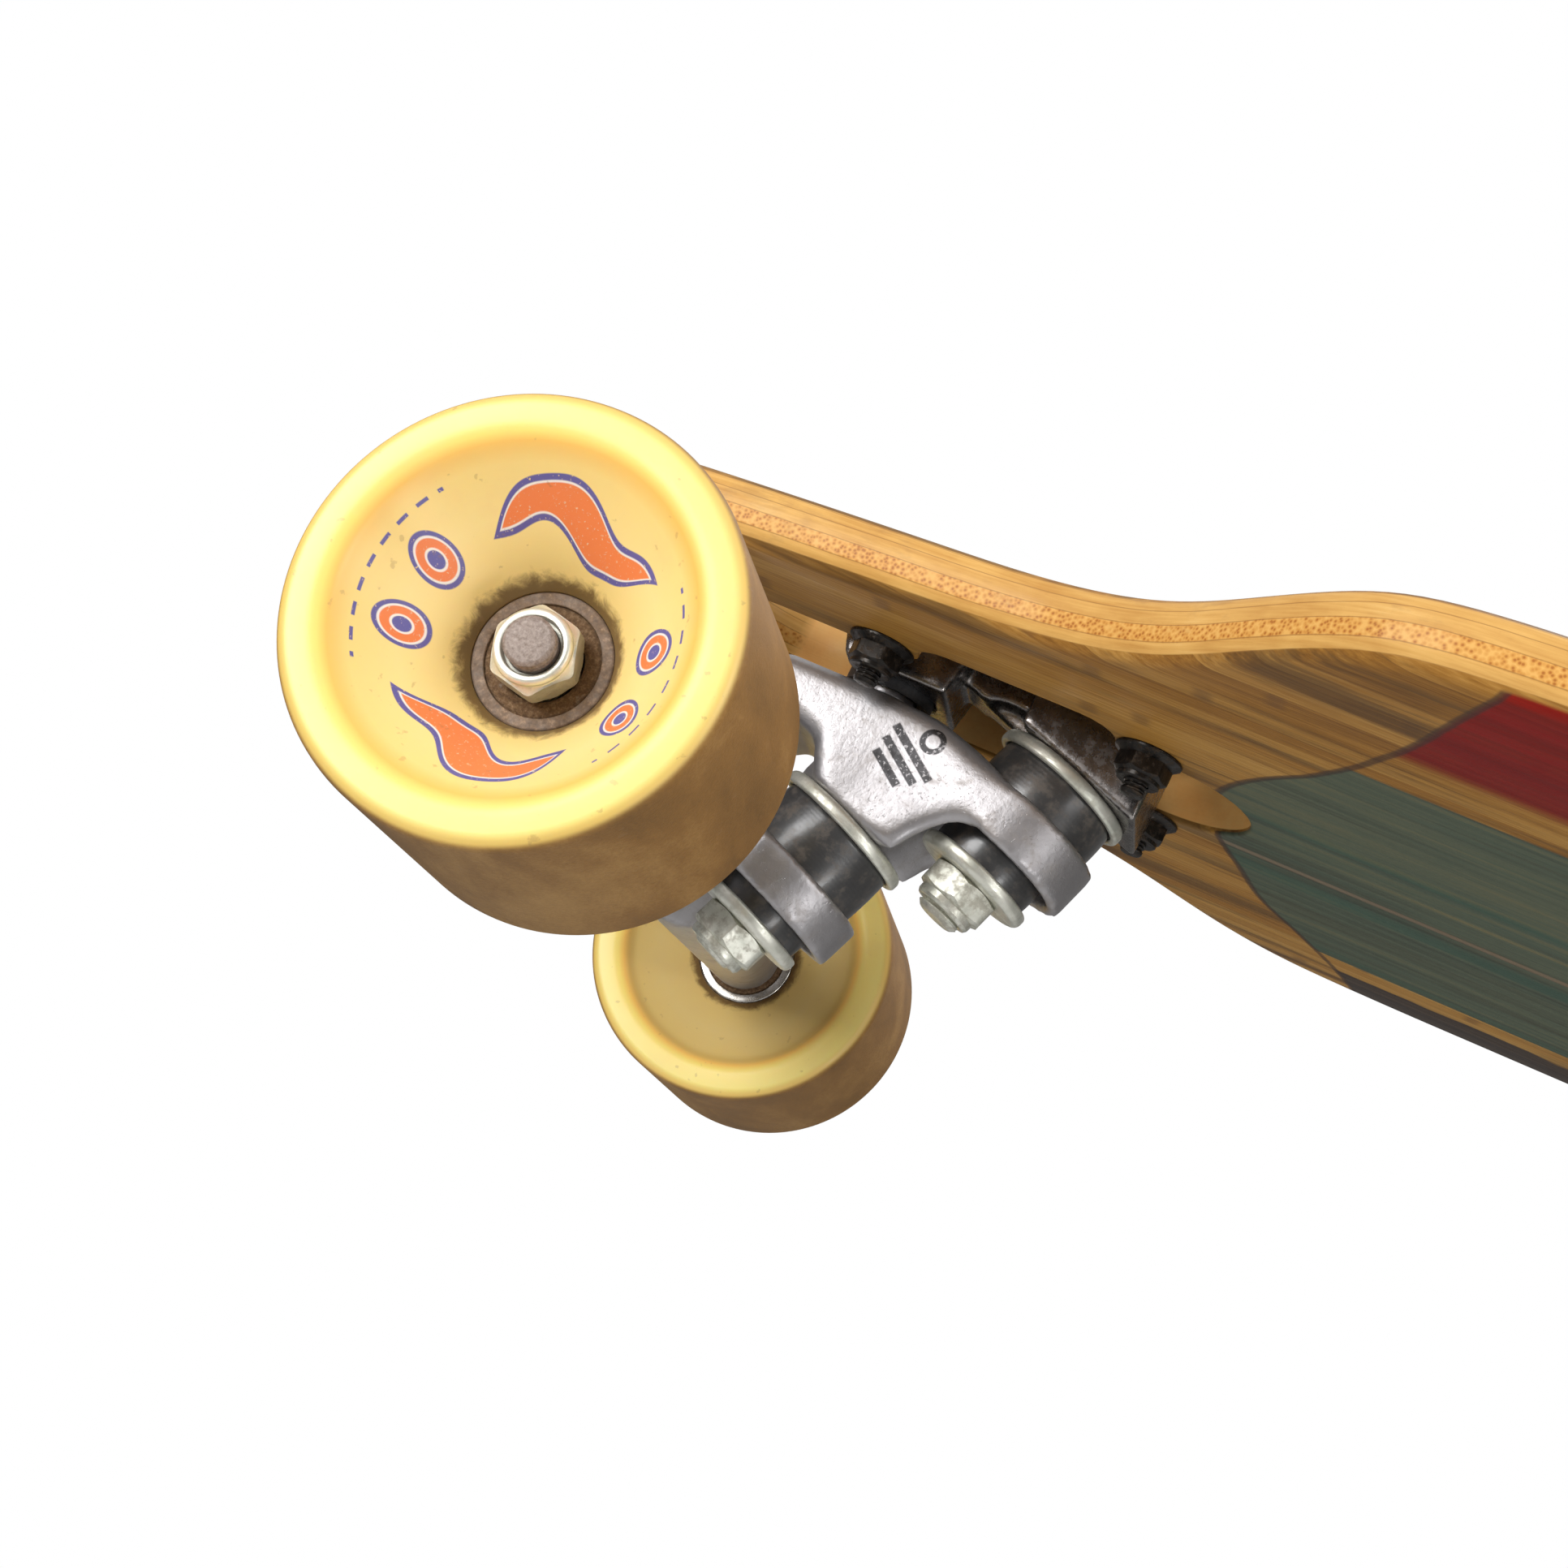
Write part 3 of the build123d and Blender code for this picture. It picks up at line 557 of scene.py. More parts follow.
def moulding_finish(name, colour):
    """Dull moulded plastic with a leathery grain and dust."""
    f = Finish(name)
    at = f.position()
    dust = f.noise(at, 500, 6, 0.7)
    lighter = tuple(min(1.0, c * 1.8 + 0.03) for c in colour)
    f.set(colour=f.ramp(dust, [(0.35, colour), (0.75, lighter)]), roughness=0.5)
    return f.set(normal=f.bump(f.cells(at, 1600), 0.00008, 0.5))


def urethane_finish(name):
    """Cast urethane: waxy yellow faces warming to orange at the dish's edge, brown road wear on the
    tread, black grime round the bearing, and a plain print of ribbons, discs and dashes outside."""
    f = Finish(name)
    own = f.position(attribute="local")
    x, y = f.axes(own)[:2]
    radius = f.length(x, y)
    cloud = f.noise(own, 60, 5, 0.6)
    face = f.ramp(radius * 28.5,
                  [(0.30, (0.90, 0.66, 0.24)), (0.55, (0.93, 0.735, 0.31)),
                   (0.70, (0.92, 0.69, 0.25)),
                   (0.765, (0.87, 0.52, 0.12)), (0.80,
                                                 (0.86, 0.66, 0.17)), (0.93, (0.87, 0.72, 0.23)),
                   (1.0, (0.88, 0.60, 0.13))])
    face = f.mix(f.step(cloud, 0.60, 0.2) * 0.16, face, (0.78, 0.52, 0.22))
    tread = f.step(radius, 0.0339, 0.0008)
    patches = f.noise(f.position((1, 1, 0.45), attribute="local"), 55, 6, 0.6, 0.3)
    speck = f.noise(own, 1500, 4, 0.7)
    worn = f.ramp(speck * 0.25 + patches * 0.8,
                  [(0.34, (0.10, 0.042, 0.010)), (0.52, (0.215, 0.098, 0.024)),
                   (0.68, (0.38, 0.21, 0.068))])
    colour = f.mix(tread, face, worn)
    shoulder = f.between(radius, 0.0328, 0.0343, 0.0016)
    colour = f.mix(shoulder * 0.45, colour, (0.66, 0.37, 0.08))
    colour = wheel_print(f, colour, x, y, radius)
    # Painted shade: the inner face inside the print's radius is darkened to brown, standing in for
    # the shade these faces get.
    film = (1 - f.value("printed")) * (1 - f.step(radius, 0.0262, 0.002))
    colour = f.mix(film * 0.6, colour, (0.42, 0.27, 0.075))
    smear = f.noise(own, 330, 6, 0.7, 0.5) * 0.0036 + 0.0108
    grime = 1 - f.step(radius, smear, 0.0019)
    colour = f.mix(grime * 0.86, colour, (0.085, 0.036, 0.012))
    spots = f.step(f.noise(own, 420, 3, 0.5), 0.70, 0.05)
    colour = f.mix(spots * 0.30, colour, (0.30, 0.17, 0.07))
    f.set(colour=colour, specular=0.45)
    f.set(roughness=tread * 0.22 + cloud * 0.14 + 0.30)
    f.set(scatter=tread * -0.16 + 0.22, scatter_scale=0.004, scatter_radius=(1.0, 0.55, 0.15))
    road = (speck * 0.6 + patches) * (tread * 0.9 + 0.1)
    return f.set(normal=f.bump(road, 0.00035, 0.5))


def wheel_print(f, colour, x, y, radius):
    """Two wavy tapered ribbons round the dish, orange with white and blue outlines, between two
    pairs of small ringed discs, and short dashes outside them."""
    angle = f.math("ARCTAN2", y, x)
    outer = f.value("printed")
    chips = f.step(f.noise(f.position(attribute="local"), 1900, 4, 0.7), 0.36, 0.05)
    strength = outer * (chips * 0.75 + 0.2)
    soft = 0.00018
    blue, orange, white = (0.085, 0.082, 0.36), (0.86, 0.20, 0.035), (0.90, 0.86, 0.80)
    half = angle / pi
    turn = (half - f.math("ROUND", half)) * pi
    wave = f.math("SINE", turn * 5.0) * 0.0020
    off = abs(radius - 0.0190 - wave)
    taper = 1 - f.math("POWER", abs(turn / 0.80), 2.2)
    ripple = f.math("COSINE", turn * 10.0) * 0.0006 + 0.0034
    ribbon = taper * ripple - off
    for reach, ink in ((0.0, blue), (0.0007, white), (0.00095, orange)):
        colour = f.mix(f.step(ribbon, reach, soft) * strength, colour, ink)
    near = (abs(turn) - 1.28) * radius
    out = radius - 0.0190
    disc = f.length(near, out)
    for reach, ink in ((0.0034, blue), (0.0028, white), (0.0025, orange), (0.0014, white),
                       (0.0011, blue)):
        inside_disc = 1 - f.step(disc, reach, soft)
        colour = f.mix(inside_disc * strength, colour, ink)
    dashes = angle * 40 / (2 * pi)
    dash = abs(dashes - f.math("ROUND", dashes))
    mark = 1 - f.step(dash, 0.27, 0.03)
    mark = mark * f.between(radius, 0.0240, 0.0244, 0.00012)
    mark = mark * f.step(abs(turn), 0.95, 0.01)
    return f.mix(mark * strength, colour, blue)


def grip_finish(name):
    """Silicon-carbide grip tape: black grit with a few bright grains and dusty tread marks."""
    f = Finish(name)
    at = f.position()
    grain = f.cells(at, 1500)
    glint = f.step(grain, 0.17, 0.03)
    dust = f.step(f.noise(f.position((1, 2, 1)), 9, 7, 0.65), 0.55, 0.2)
    colour = f.ramp(f.noise(at, 900, 2), [(0.3, (0.010, 0.010, 0.011)),
                                          (0.7, (0.055, 0.053, 0.050))])
    colour = f.mix(dust * 0.28, colour, (0.17, 0.15, 0.12))
    f.set(colour=f.mix(glint * -0.3 + 0.3, colour, (0.30, 0.30, 0.30)), roughness=0.85)
    return f.set(normal=f.bump(grain, 0.0003, 0.9))


def bamboo_finish(name):
    """Vertically laminated bamboo under varnish. The underside has a teal stain, a red band and
    a charcoal band; the edges show a pale veneer, a dotted orange ply and pale plies."""
    f = Finish(name)
    x, y = f.axes(f.position())[:2]
    inboard = TRUCK_X * MM - abs(x)
    ply = f.value("ply")
    bare = strip_colour(f, y)
    stained = underside_stain(f, bare, inboard, y)
    under = 1 - f.step(ply, 0.75, 0.5)
    face = f.mix(under, bare, stained)
    colour = f.mix(f.between(ply, 1.25, 10.75, 0.25), face, edge_colour(f, ply))
    f.set(colour=colour, roughness=f.noise(f.position((1, 6, 1)), 90, 5) * 0.22 + 0.34)
    f.set(coat=0.09, coat_roughness=0.12, specular=0.12)
    pores = f.noise(f.position((0.06, 1, 1)), 2600, 3, 0.6)
    dents = f.noise(f.position((0.4, 1, 1)), 70, 4)
    return f.set(normal=f.bump(dents * 2.0 + pores, 0.00006, 0.6))


def strip_colour(f, y):
    """Honey-coloured strips about 5 mm wide, with long fibre streaks and darker joints."""
    row = f.math("FLOOR", y / STRIP_WIDTH)
    tone = f.read(f.node("ShaderNodeTexWhiteNoise", {"W": row}, noise_dimensions="1D"), "Value")
    fibre = f.noise(f.position((0.035, 1, 1)), 1500, 5, 0.65)
    drift = f.noise(f.position((0.25, 1, 1)), 26, 5, 0.6, 0.4)
    blend = tone * 0.17 + fibre * 0.50 + drift * 0.42
    colour = f.ramp(blend, [(0.30, (0.17, 0.068, 0.010)), (0.48, (0.37, 0.168, 0.030)),
                            (0.62, (0.52, 0.27, 0.062)),
                            (0.80, (0.68, 0.41, 0.125))])
    shifted = tone * 3.7 + f.axes(f.position())[0] * 7.5
    knot = abs(shifted - f.math("ROUND", shifted))
    knot = 1 - f.step(knot, 0.012, 0.016)
    colour = f.mix(knot * 0.45, colour, (0.17, 0.08, 0.03))
    seam = f.math("FRACT", y / STRIP_WIDTH)
    seam = 1 - f.step(seam, 0.035, 0.05)
    colour = f.mix(seam * 0.28, colour, (0.14, 0.075, 0.03))
    smoke = f.step(f.noise(f.position((0.07, 1, 1)), 75, 5, 0.7), 0.52, 0.14)
    return f.mix(smoke * 0.62, colour, (0.085, 0.048, 0.020))


def underside_stain(f, bare, inboard, y):
    """Stained areas by distance from the truck and from the board's middle line."""
    near_arc = f.node("ShaderNodeFloatCurve", {"Value": y / -ARC_REACH})
    shape_curve(near_arc, ((0.0, 0.315), (0.15, 0.345), (0.28, 0.40), (0.40, 0.475), (0.60, 0.56),
                           (0.80, 0.625), (1.0, 0.70)))
    far_arc = f.node("ShaderNodeFloatCurve", {"Value": y / ARC_REACH})
    shape_curve(far_arc, ((0.0, 0.315), (0.125, 0.35), (0.25, 0.39), (0.40, 0.44), (0.53, 0.52),
                          (0.70, 0.60), (1.0, 0.66)))
    nearer = f.step(y, 0.0, 0.0002)
    edge = f.mix(nearer, f.read(near_arc, "Value"), f.read(far_arc, "Value")) * ARC_REACH
    wobble = f.noise(f.position(), 45, 3) * 0.0012 - 0.0006
    past = inboard - edge + wobble
    inside = f.step(past, 0.0, 0.0012)
    streak = f.noise(f.position((0.02, 1, 1)), 330, 6, 0.7)
    wash = f.noise(f.position((0.12, 1, 1)), 48, 5, 0.65)
    teal = f.ramp(streak * 0.6 + wash * 0.5,
                  [(0.36, (0.020, 0.025, 0.018)), (0.46, (0.060, 0.082, 0.060)),
                   (0.57, (0.092, 0.130, 0.092)),
                   (0.72, (0.185, 0.175, 0.092))])
    glow = f.step(f.noise(f.position((0.02, 1, 1)), 62, 3, 0.5), 0.60, 0.12)
    teal = f.mix(glow * 0.5, teal, (0.022, 0.105, 0.082))
    line = f.between(y, 0.0150, 0.0172, 0.0012)
    teal = f.mix(line * 0.45, teal, (0.40, 0.26, 0.17))
    middle = f.between(y, -0.0580, 0.0715, 0.0012)
    colour = f.mix(inside * middle * 0.94, bare, teal)
    fade = f.step(y, -0.0735, 0.0065)
    red = f.ramp(streak * 0.7 + 0.1, [(0.3, (0.16, 0.0004, 0.0008)), (0.7, (0.32, 0.0012, 0.002))])
    band = (1 - fade) * inside
    colour = f.mix(band * 0.96, colour, red)
    wave = f.noise(f.position((1, 0.1, 1)), 26, 3) * 0.016 + 0.0745
    dark = f.step(y, wave, 0.0012) * inside
    coal = f.ramp(streak, [(0.35, (0.028, 0.022, 0.021)), (0.6, (0.066, 0.050, 0.042)),
                           (0.8, (0.125, 0.095, 0.073))])
    colour = f.mix(dark * 0.95, colour, coal)
    rim = f.between(past, -0.0007, 0.0009, 0.0007)
    inner = f.step(abs(y), 0.0005, 0.0005)
    return f.mix(rim * inner * 0.72, colour, (0.055, 0.030, 0.022))


def shape_curve(node, points):
    """Sets a float curve's points and refreshes it."""
    curve = node.mapping.curves[0]
    while len(curve.points) < len(points):
        curve.points.new(0.5, 0.5)
    for point, place in zip(curve.points, points):
        point.location = place
    node.mapping.update()


def edge_colour(f, ply):
    """Plies seen edge on, by height above the underside in millimetres."""
    warp = f.noise(f.position(), 45, 3) * 0.5 + ply - 0.25
    grain = f.noise(f.position((0.05, 0.05, 1)), 1400, 5, 0.6)
    drift = f.noise(f.position(), 40, 5, 0.6)
    pale = f.ramp(grain * 0.5 + drift * 0.5,
                  [(0.35, (0.56, 0.28, 0.070)), (0.55, (0.72, 0.41, 0.12)),
                   (0.75, (0.83, 0.54, 0.20))])
    dots = f.cells(f.position(), 1300)
    orange = f.ramp(dots * 0.8 + drift * 0.35,
                    [(0.30, (0.42, 0.15, 0.030)), (0.50, (0.64, 0.30, 0.065)),
                     (0.80, (0.76, 0.42, 0.115))])
    colour = f.mix(f.between(warp, 3.0, 6.0, 0.5), pale, orange)
    for glue in (1.2, 3.0, 6.0, 8.6, 10.6):
        seam = f.between(warp, glue - 0.09, glue + 0.09, 0.12)
        colour = f.mix(seam * 0.55, colour, (0.26, 0.11, 0.03))
    smudge = f.step(f.noise(f.position((0.3, 0.3, 1)), 110, 6, 0.7), 0.62, 0.1)
    colour = f.mix(smudge * 0.25, colour, (0.30, 0.16, 0.07))
    # Painted light: the slot walls, where little light falls, get a bright orange in place of the
    # plies.
    return f.mix(f.value("slot") * 0.9, colour,
                 f.ramp(drift, [(0.35, (0.97, 0.46, 0.13)), (0.7, (1.0, 0.66, 0.25))]))


# ---------------------------------------------------------------- surfaces of the pieces
def faceted(rows, segments=72):
    """Closed surface turned about Z with hexagonal rows among round ones. A row is
    (radius, height, flats, dip). A round row has no flats. A hexagonal one has the radius
    min(flats / 2 / cos(t mod 60), 1.12 flats / 2) and leans by dip at its corners."""
    t = np.linspace(0, 2 * pi, segments, endpoint=False)
    fold = np.mod(t + pi / 6, pi / 3) - pi / 6
    reach = np.minimum(1 / np.cos(fold), 1.125)
    radii, heights = [], []
    for radius, height, flats, dip in rows:
        if flats:
            radii.append(flats / 2 * reach)
            heights.append(height + dip * (reach - 1) / 0.125)
        else:
            radii.append(np.full(segments, radius))
            heights.append(np.full(segments, height))
    radii, heights = np.array(radii), np.array(heights)
    verts = np.stack([radii * np.cos(t), radii * np.sin(t), heights], -1).reshape(-1, 3)
    return verts, grid_faces(len(rows), segments, wrap_rows=True, wrap_columns=True)


def hex_rows(flats, low, high):
    """Rows of a hexagon between two heights, chamfered on both ends."""
    dip = flats * 0.045
    return [(flats * 0.475, low, 0, 0), (0, low + 0.12, flats, dip), (0, high - 0.12, flats, -dip),
            (flats * 0.475, high, 0, 0)]


def threaded(radius, pitch, start, stop, depth):
    """Profile and radius rule of a rod with a thread between two heights. The radius falls by
    depth (1 - cos(2 pi (h / pitch - t / 2 pi))) / 2, a helix of the given pitch."""
    count = int((stop - start) / pitch * 8)
    heights = np.linspace(start, stop, count)
    profile = [(radius, h) for h in heights]

    def wave(r, h, t):
        ends = np.clip((h - start) / 0.4, 0, 1) * np.clip((stop - h) / 0.4, 0, 1)
        on_rod = (np.abs(r - radius) < 1e-6) & (h >= start - 1e-6) & (h <= stop + 1e-6)
        fall = depth * (1 - np.cos(2 * pi * (h / pitch - t / (2 * pi)))) / 2
        return np.where(on_rod, r - fall * ends, r)

    return profile, wave


def board_edge(inset):
    """Half outline waypoints of the deck's flare, waist and nose, in millimetres."""
    waist = [(96, 0), (76, 1.6), (60, 6.0), (47, 16.0), (35, 29.0), (22, 42.0), (5, 51.5),
             (-20, 57.0), (-60, 64.0),
             (-92, 72.5), (-114, 87.0)]
    points = [(TRUCK_X - x, BOARD_HALF_WIDTH - cut - inset) for x, cut in waist]
    return np.array(points + [(BOARD_TIP - inset, 0.0)])


def clamped_spline(points, first, last, count):
    """Cubic spline through points over chord length, with unit end slopes, sampled evenly.
    Slopes m solve the tridiagonal system h[i] m[i-1] + 2 (h[i-1] + h[i]) m[i] + h[i-1] m[i+1]
    = 3 (h[i] d[i-1] + h[i-1] d[i]) with chord slopes d."""
    h = np.linalg.norm(np.diff(points, axis=0), axis=1)
    d = np.diff(points, axis=0) / h[:, None]
    n = len(points)
    system, right = np.eye(n), np.zeros((n, 2))
    right[0], right[-1] = first, last
    for i in range(1, n - 1):
        system[i, i - 1], system[i, i], system[i, i + 1] = h[i], 2 * (h[i - 1] + h[i]), h[i - 1]
        right[i] = 3 * (h[i] * d[i - 1] + h[i - 1] * d[i])
    m = np.linalg.solve(system, right)
    knots = np.concatenate([[0], np.cumsum(h)])
    at = np.linspace(0, knots[-1], count)
    i = np.clip(np.searchsorted(knots, at, "right") - 1, 0, n - 2)
    t = ((at - knots[i]) / h[i])[:, None]
    span = h[i][:, None]
    return (points[i] * (1 + 2 * t) * (1 - t) ** 2 + m[i] * span * t * (1 - t) ** 2
            + points[i + 1] * t * t * (3 - 2 * t) + m[i + 1] * span * t * t * (t - 1))


def board_loop(inset, spacing):
    """Closed outline of the deck, counter-clockwise, by mirroring one quarter twice."""
    quarter = clamped_spline(board_edge(inset), (1, 0), (0, -1), 400)
    right = np.vstack([[(0, BOARD_HALF_WIDTH - inset)], quarter])[::-1]
    left = right[::-1] * (-1, 1)
    upper = np.vstack([right, left])
    lower = upper[::-1] * (1, -1)
    loop = np.vstack([upper, lower[1:-1]])
    keep = np.linalg.norm(np.diff(np.vstack([loop, loop[:1]]), axis=0), axis=1) > 1e-6
    return even_loop(loop[keep], spacing)


def slot_loop(end, spacing):
    """Closed outline of a drop-through slot: long and narrow, with a wider middle."""
    narrow, wide, inboard, outboard = 17.3, 27.3, 47.6, -66.0
    half = [(inboard, 0), (inboard, narrow), (20, narrow), (20, wide), (-20, wide), (-20, narrow),
            (outboard, narrow), (outboard, 0)]
    radii = [narrow - 0.01, 2, 7, 7, 2, narrow - 0.01]
    upper = rounded(half, radii, 12)
    loop = np.vstack([upper, upper[::-1][1:-1] * (1, -1)])
    turn = 1 if end < 0 else -1
    return even_loop(loop * turn + (end * TRUCK_X, 0), spacing)


def flange_loop(end, clearance, spacing):
    """Closed outline of the opening round a baseplate flange, with the slot's ends beyond it."""
    a, b = 39.0 + clearance, 31.0 + clearance
    half = [(47.6, 0), (47.6, 17.3), (a, 17.3), (a, b), (-a, b), (-a, 17.3), (-66, 17.3), (-66, 0)]
    upper = rounded(half, [8, 1, 9, 9, 1, 17], 8)
    loop = np.vstack([upper, upper[::-1][1:-1] * (1, -1)])
    turn = 1 if end < 0 else -1
    return even_loop(loop * turn + (end * TRUCK_X, 0), spacing)


def inside(points, loop):
    """True for each point inside a closed loop, by counting crossings of its edges."""
    a, b = loop, np.roll(loop, -1, 0)
    x, y = points[:, :1], points[:, 1:]
    straddle = (a[:, 1] > y) != (b[:, 1] > y)
    slope = np.where(b[:, 1] == a[:, 1], 1e-12, b[:, 1] - a[:, 1])
    cross = x < a[:, 0] + (y - a[:, 1]) * (b[:, 0] - a[:, 0]) / slope
    return (np.sum(straddle & cross, 1) % 2) == 1


def rail_rise(y):
    """Height of the deck's concave at a distance from the middle line: an arc past the flat."""
    flat, reach, rise = 62.0, BOARD_HALF_WIDTH - 62.0, 3.6
    bend = (reach**2 + rise**2) / (2 * rise)
    out = np.maximum(np.abs(y) - flat, 0)
    return bend - np.sqrt(bend**2 - out**2)


def slab(outer, holes, profile, hole_profile, cell):
    """Board-shaped sheet with openings. Every edge is a loop swept down a rounded profile of
    (inset, height); the two faces are triangulated between the first and the last rows."""
    verts, faces, start = [], [], 0
    rings = {0: [], -1: []}
    for loop, shape, outward in [(outer, profile,
                                  1)] + [(hole, hole_profile, -1) for hole in holes]:
        along = np.roll(loop, -1, 0) - np.roll(loop, 1, 0)
        along /= np.linalg.norm(along, axis=1)[:, None]
        area = np.sum(loop[:, 0] * np.roll(loop[:, 1], -1) - np.roll(loop[:, 0], -1) * loop[:, 1])
        normal = np.stack([along[:, 1], -along[:, 0]], 1) * np.sign(area) * outward
        for inset, height in shape:
            verts.append(np.column_stack([loop - normal * inset, np.full(len(loop), height)]))
        faces += grid_faces(len(shape), len(loop), wrap_columns=True, offset=start).tolist()
        rings[0].append(np.arange(len(loop)) + start)
        rings[-1].append(np.arange(len(loop)) + start + len(loop) * (len(shape) - 1))
        start += len(loop) * len(shape)
    verts = np.vstack(verts)
    low, high = outer.min(0), outer.max(0)
    gx, gy = np.meshgrid(np.arange(low[0], high[0], cell), np.arange(low[1], high[1], cell))
    grid = np.stack([gx.ravel(), gy.ravel()], 1)
    for level, height in ((0, profile[0][1]), (-1, profile[-1][1])):
        edges, border, base = [], [], 0
        for ring in rings[level]:
            border.append(verts[ring][:, :2])
            count = len(ring)
            edges += [(base + i, base + (i + 1) % count) for i in range(count)]
            base += count
        rim = np.vstack(border)
        near = np.array([np.min(np.sum((rim - p) ** 2, 1)) for p in grid]) < (cell * 0.5) ** 2
        points = np.vstack([rim, grid[~near]])
        result = delaunay_2d_cdt([Vector(p) for p in points], edges, [], 0, 1e-6)
        flat = np.array([tuple(p) for p in result[0]])
        triangles = np.array([tuple(t) for t in result[2]])
        centres = flat[triangles].mean(1)
        keep = inside(centres, border[0])
        for hole in border[1:]:
            keep &= ~inside(centres, hole)
        faces += (triangles[keep] + len(verts)).tolist()
        verts = np.vstack([verts, np.column_stack([flat, np.full(len(flat), height)])])
    used = np.unique(np.concatenate([np.array(face) for face in faces]))
    order = np.full(len(verts), -1)
    order[used] = np.arange(len(used))
    return verts[used], [order[list(face)].tolist() for face in faces]


def quarter_arc(radius, start, stop, height, steps=7):
    """Rounded edge rows: inset radius (1 - cos t), height moved by radius sin t."""
    t = np.linspace(radians(start), radians(stop), steps)
    return [(radius * (1 - cos(a)), height + radius * sin(a)) for a in t]


# ---------------------------------------------------------------- settings
class DeckSettings(bpy.types.PropertyGroup):
    spacing: FloatProperty(name="Edge spacing", description="Step along the deck's edge",
                           default=0.003, unit="LENGTH")
    thickness: FloatProperty(name="Thickness", description="Wood from face to face", default=0.012,
                             unit="LENGTH")
    low_round: FloatProperty(name="Underside rounding", description="Radius of the lower edge",
                             default=0.0042, unit="LENGTH")
    high_round: FloatProperty(name="Top rounding", description="Radius of the upper edge",
                              default=0.0035, unit="LENGTH")
    grip_inset: FloatProperty(name="Grip inset", description="Grip tape back from the edge",
                              default=0.0062, unit="LENGTH")
    grip_thickness: FloatProperty(name="Grip thickness", description="Height of the grit sheet",
                                  default=0.0007, unit="LENGTH")


class TruckSettings(bpy.types.PropertyGroup):
    upper_tilt: FloatProperty(name="Upper tilt", description="Lean of the upper kingpin",
                              default=radians(19.0), subtype="ANGLE")
    lower_tilt: FloatProperty(name="Lower tilt", description="Lean of the lower kingpin",
                              default=radians(21.5), subtype="ANGLE")
    voxel: FloatProperty(name="Casting cell", description="Cell of the remeshed castings",
                         default=0.0007, unit="LENGTH")
    soften: IntProperty(name="Softening", description="Smoothing passes over the castings",
                        default=14)
    pitch: FloatProperty(name="Thread pitch", description="Pitch of the kingpin threads",
                         default=0.00106, unit="LENGTH")


class WheelSettings(bpy.types.PropertyGroup):
    radius: FloatProperty(name="Radius", description="Tread radius", default=0.0345, unit="LENGTH")
    shoulder: FloatProperty(name="Shoulder", description="Rounding between lip and tread",
                            default=0.0024, unit="LENGTH")
    segments: IntProperty(name="Segments", description="Steps round a wheel", default=160)


class StudioSettings(bpy.types.PropertyGroup):
    floor_height: FloatProperty(name="Floor", description="Height of the studio floor",
                                default=-0.6, unit="LENGTH")
    lens: FloatProperty(name="Lens", description="Focal length in millimetres", default=55.28)
    camera_place: FloatVectorProperty(name="Camera", description="Place of the camera",
                                      default=(-0.26309, -0.44513, -0.03724), unit="LENGTH")
    key_power: FloatProperty(name="Key", description="Watts of the main softbox", default=6.0)


# ---------------------------------------------------------------- operators
class LONGBOARD_OT_deck(bpy.types.Operator):
    """Build the laminated deck with its rounded edges and drop-through slots"""

    bl_idname = "longboard.deck"
    bl_label = "Deck"

    def execute(self, context):
        sizes = context.scene.longboard_deck
        thick = sizes.thickness / MM
        low, high = sizes.low_round / MM, sizes.high_round / MM
        profile = quarter_arc(low, -90, 0, low) + quarter_arc(high, 0, 90, thick - high)
        profile[0] = (low, 0.0)
        hole = quarter_arc(0.8, -90, 0, 0.8, 4) + quarter_arc(0.8, 0, 90, thick - 0.8, 4)
        spacing = sizes.spacing / MM
        slots = [slot_loop(end, spacing * 0.8) for end in TRUCKS.values()]
        verts, faces = slab(board_loop(0, spacing), slots, profile, hole, spacing * GRID_STEPS)
        height = verts[:, 2].copy()
        verts[:, 2] += DECK_UNDERSIDE + rail_rise(verts[:, 1])
        middle, half_length, half_width, skin = TRUCK_X - 9, 60, 28, 0.2
        beside = np.abs(np.abs(verts[:, 0]) - middle) < half_length
        within = np.abs(verts[:, 1]) < half_width
        # Painted light: the walls inside the slots are marked here to be painted bright orange in
        # place of light.
        glowing_slot_wall = within & beside & (height > skin) & (height < thick - skin)
        rules = {"ply": lambda points: height, "slot": lambda points: glowing_slot_wall}
        make_piece("deck", [(verts, faces, Matrix.Scale(MM, 4))], "root",
                   bamboo_finish("bamboo"),
                   ("deck_bottom_ply", "deck_core", "deck_top_ply"), rules, 50)
        return {"FINISHED"}


class LONGBOARD_OT_grip(bpy.types.Operator):
    """Build the grip tape, cut back from the edge and round the baseplates"""

    bl_idname = "longboard.grip"
    bl_label = "Grip tape"

    def execute(self, context):
        sizes = context.scene.longboard_deck
        spacing = sizes.spacing / MM
        holes = [flange_loop(end, 0.7, spacing * 0.8) for end in TRUCKS.values()]
        thick = sizes.grip_thickness / MM
        profile = [(0, 0), (0, thick - 0.25), (0.1, thick - 0.06), (0.3, thick)]
        edge = board_loop(sizes.grip_inset / MM, spacing)
        verts, faces = slab(edge, holes, profile, profile, spacing * GRID_STEPS)
        verts[:, 2] += DECK_UNDERSIDE + sizes.thickness / MM + rail_rise(verts[:, 1])
        make_piece("grip", [(verts, faces, Matrix.Scale(MM, 4))], "root",
                   grip_finish("grit"), ("grip_tape",))
        return {"FINISHED"}


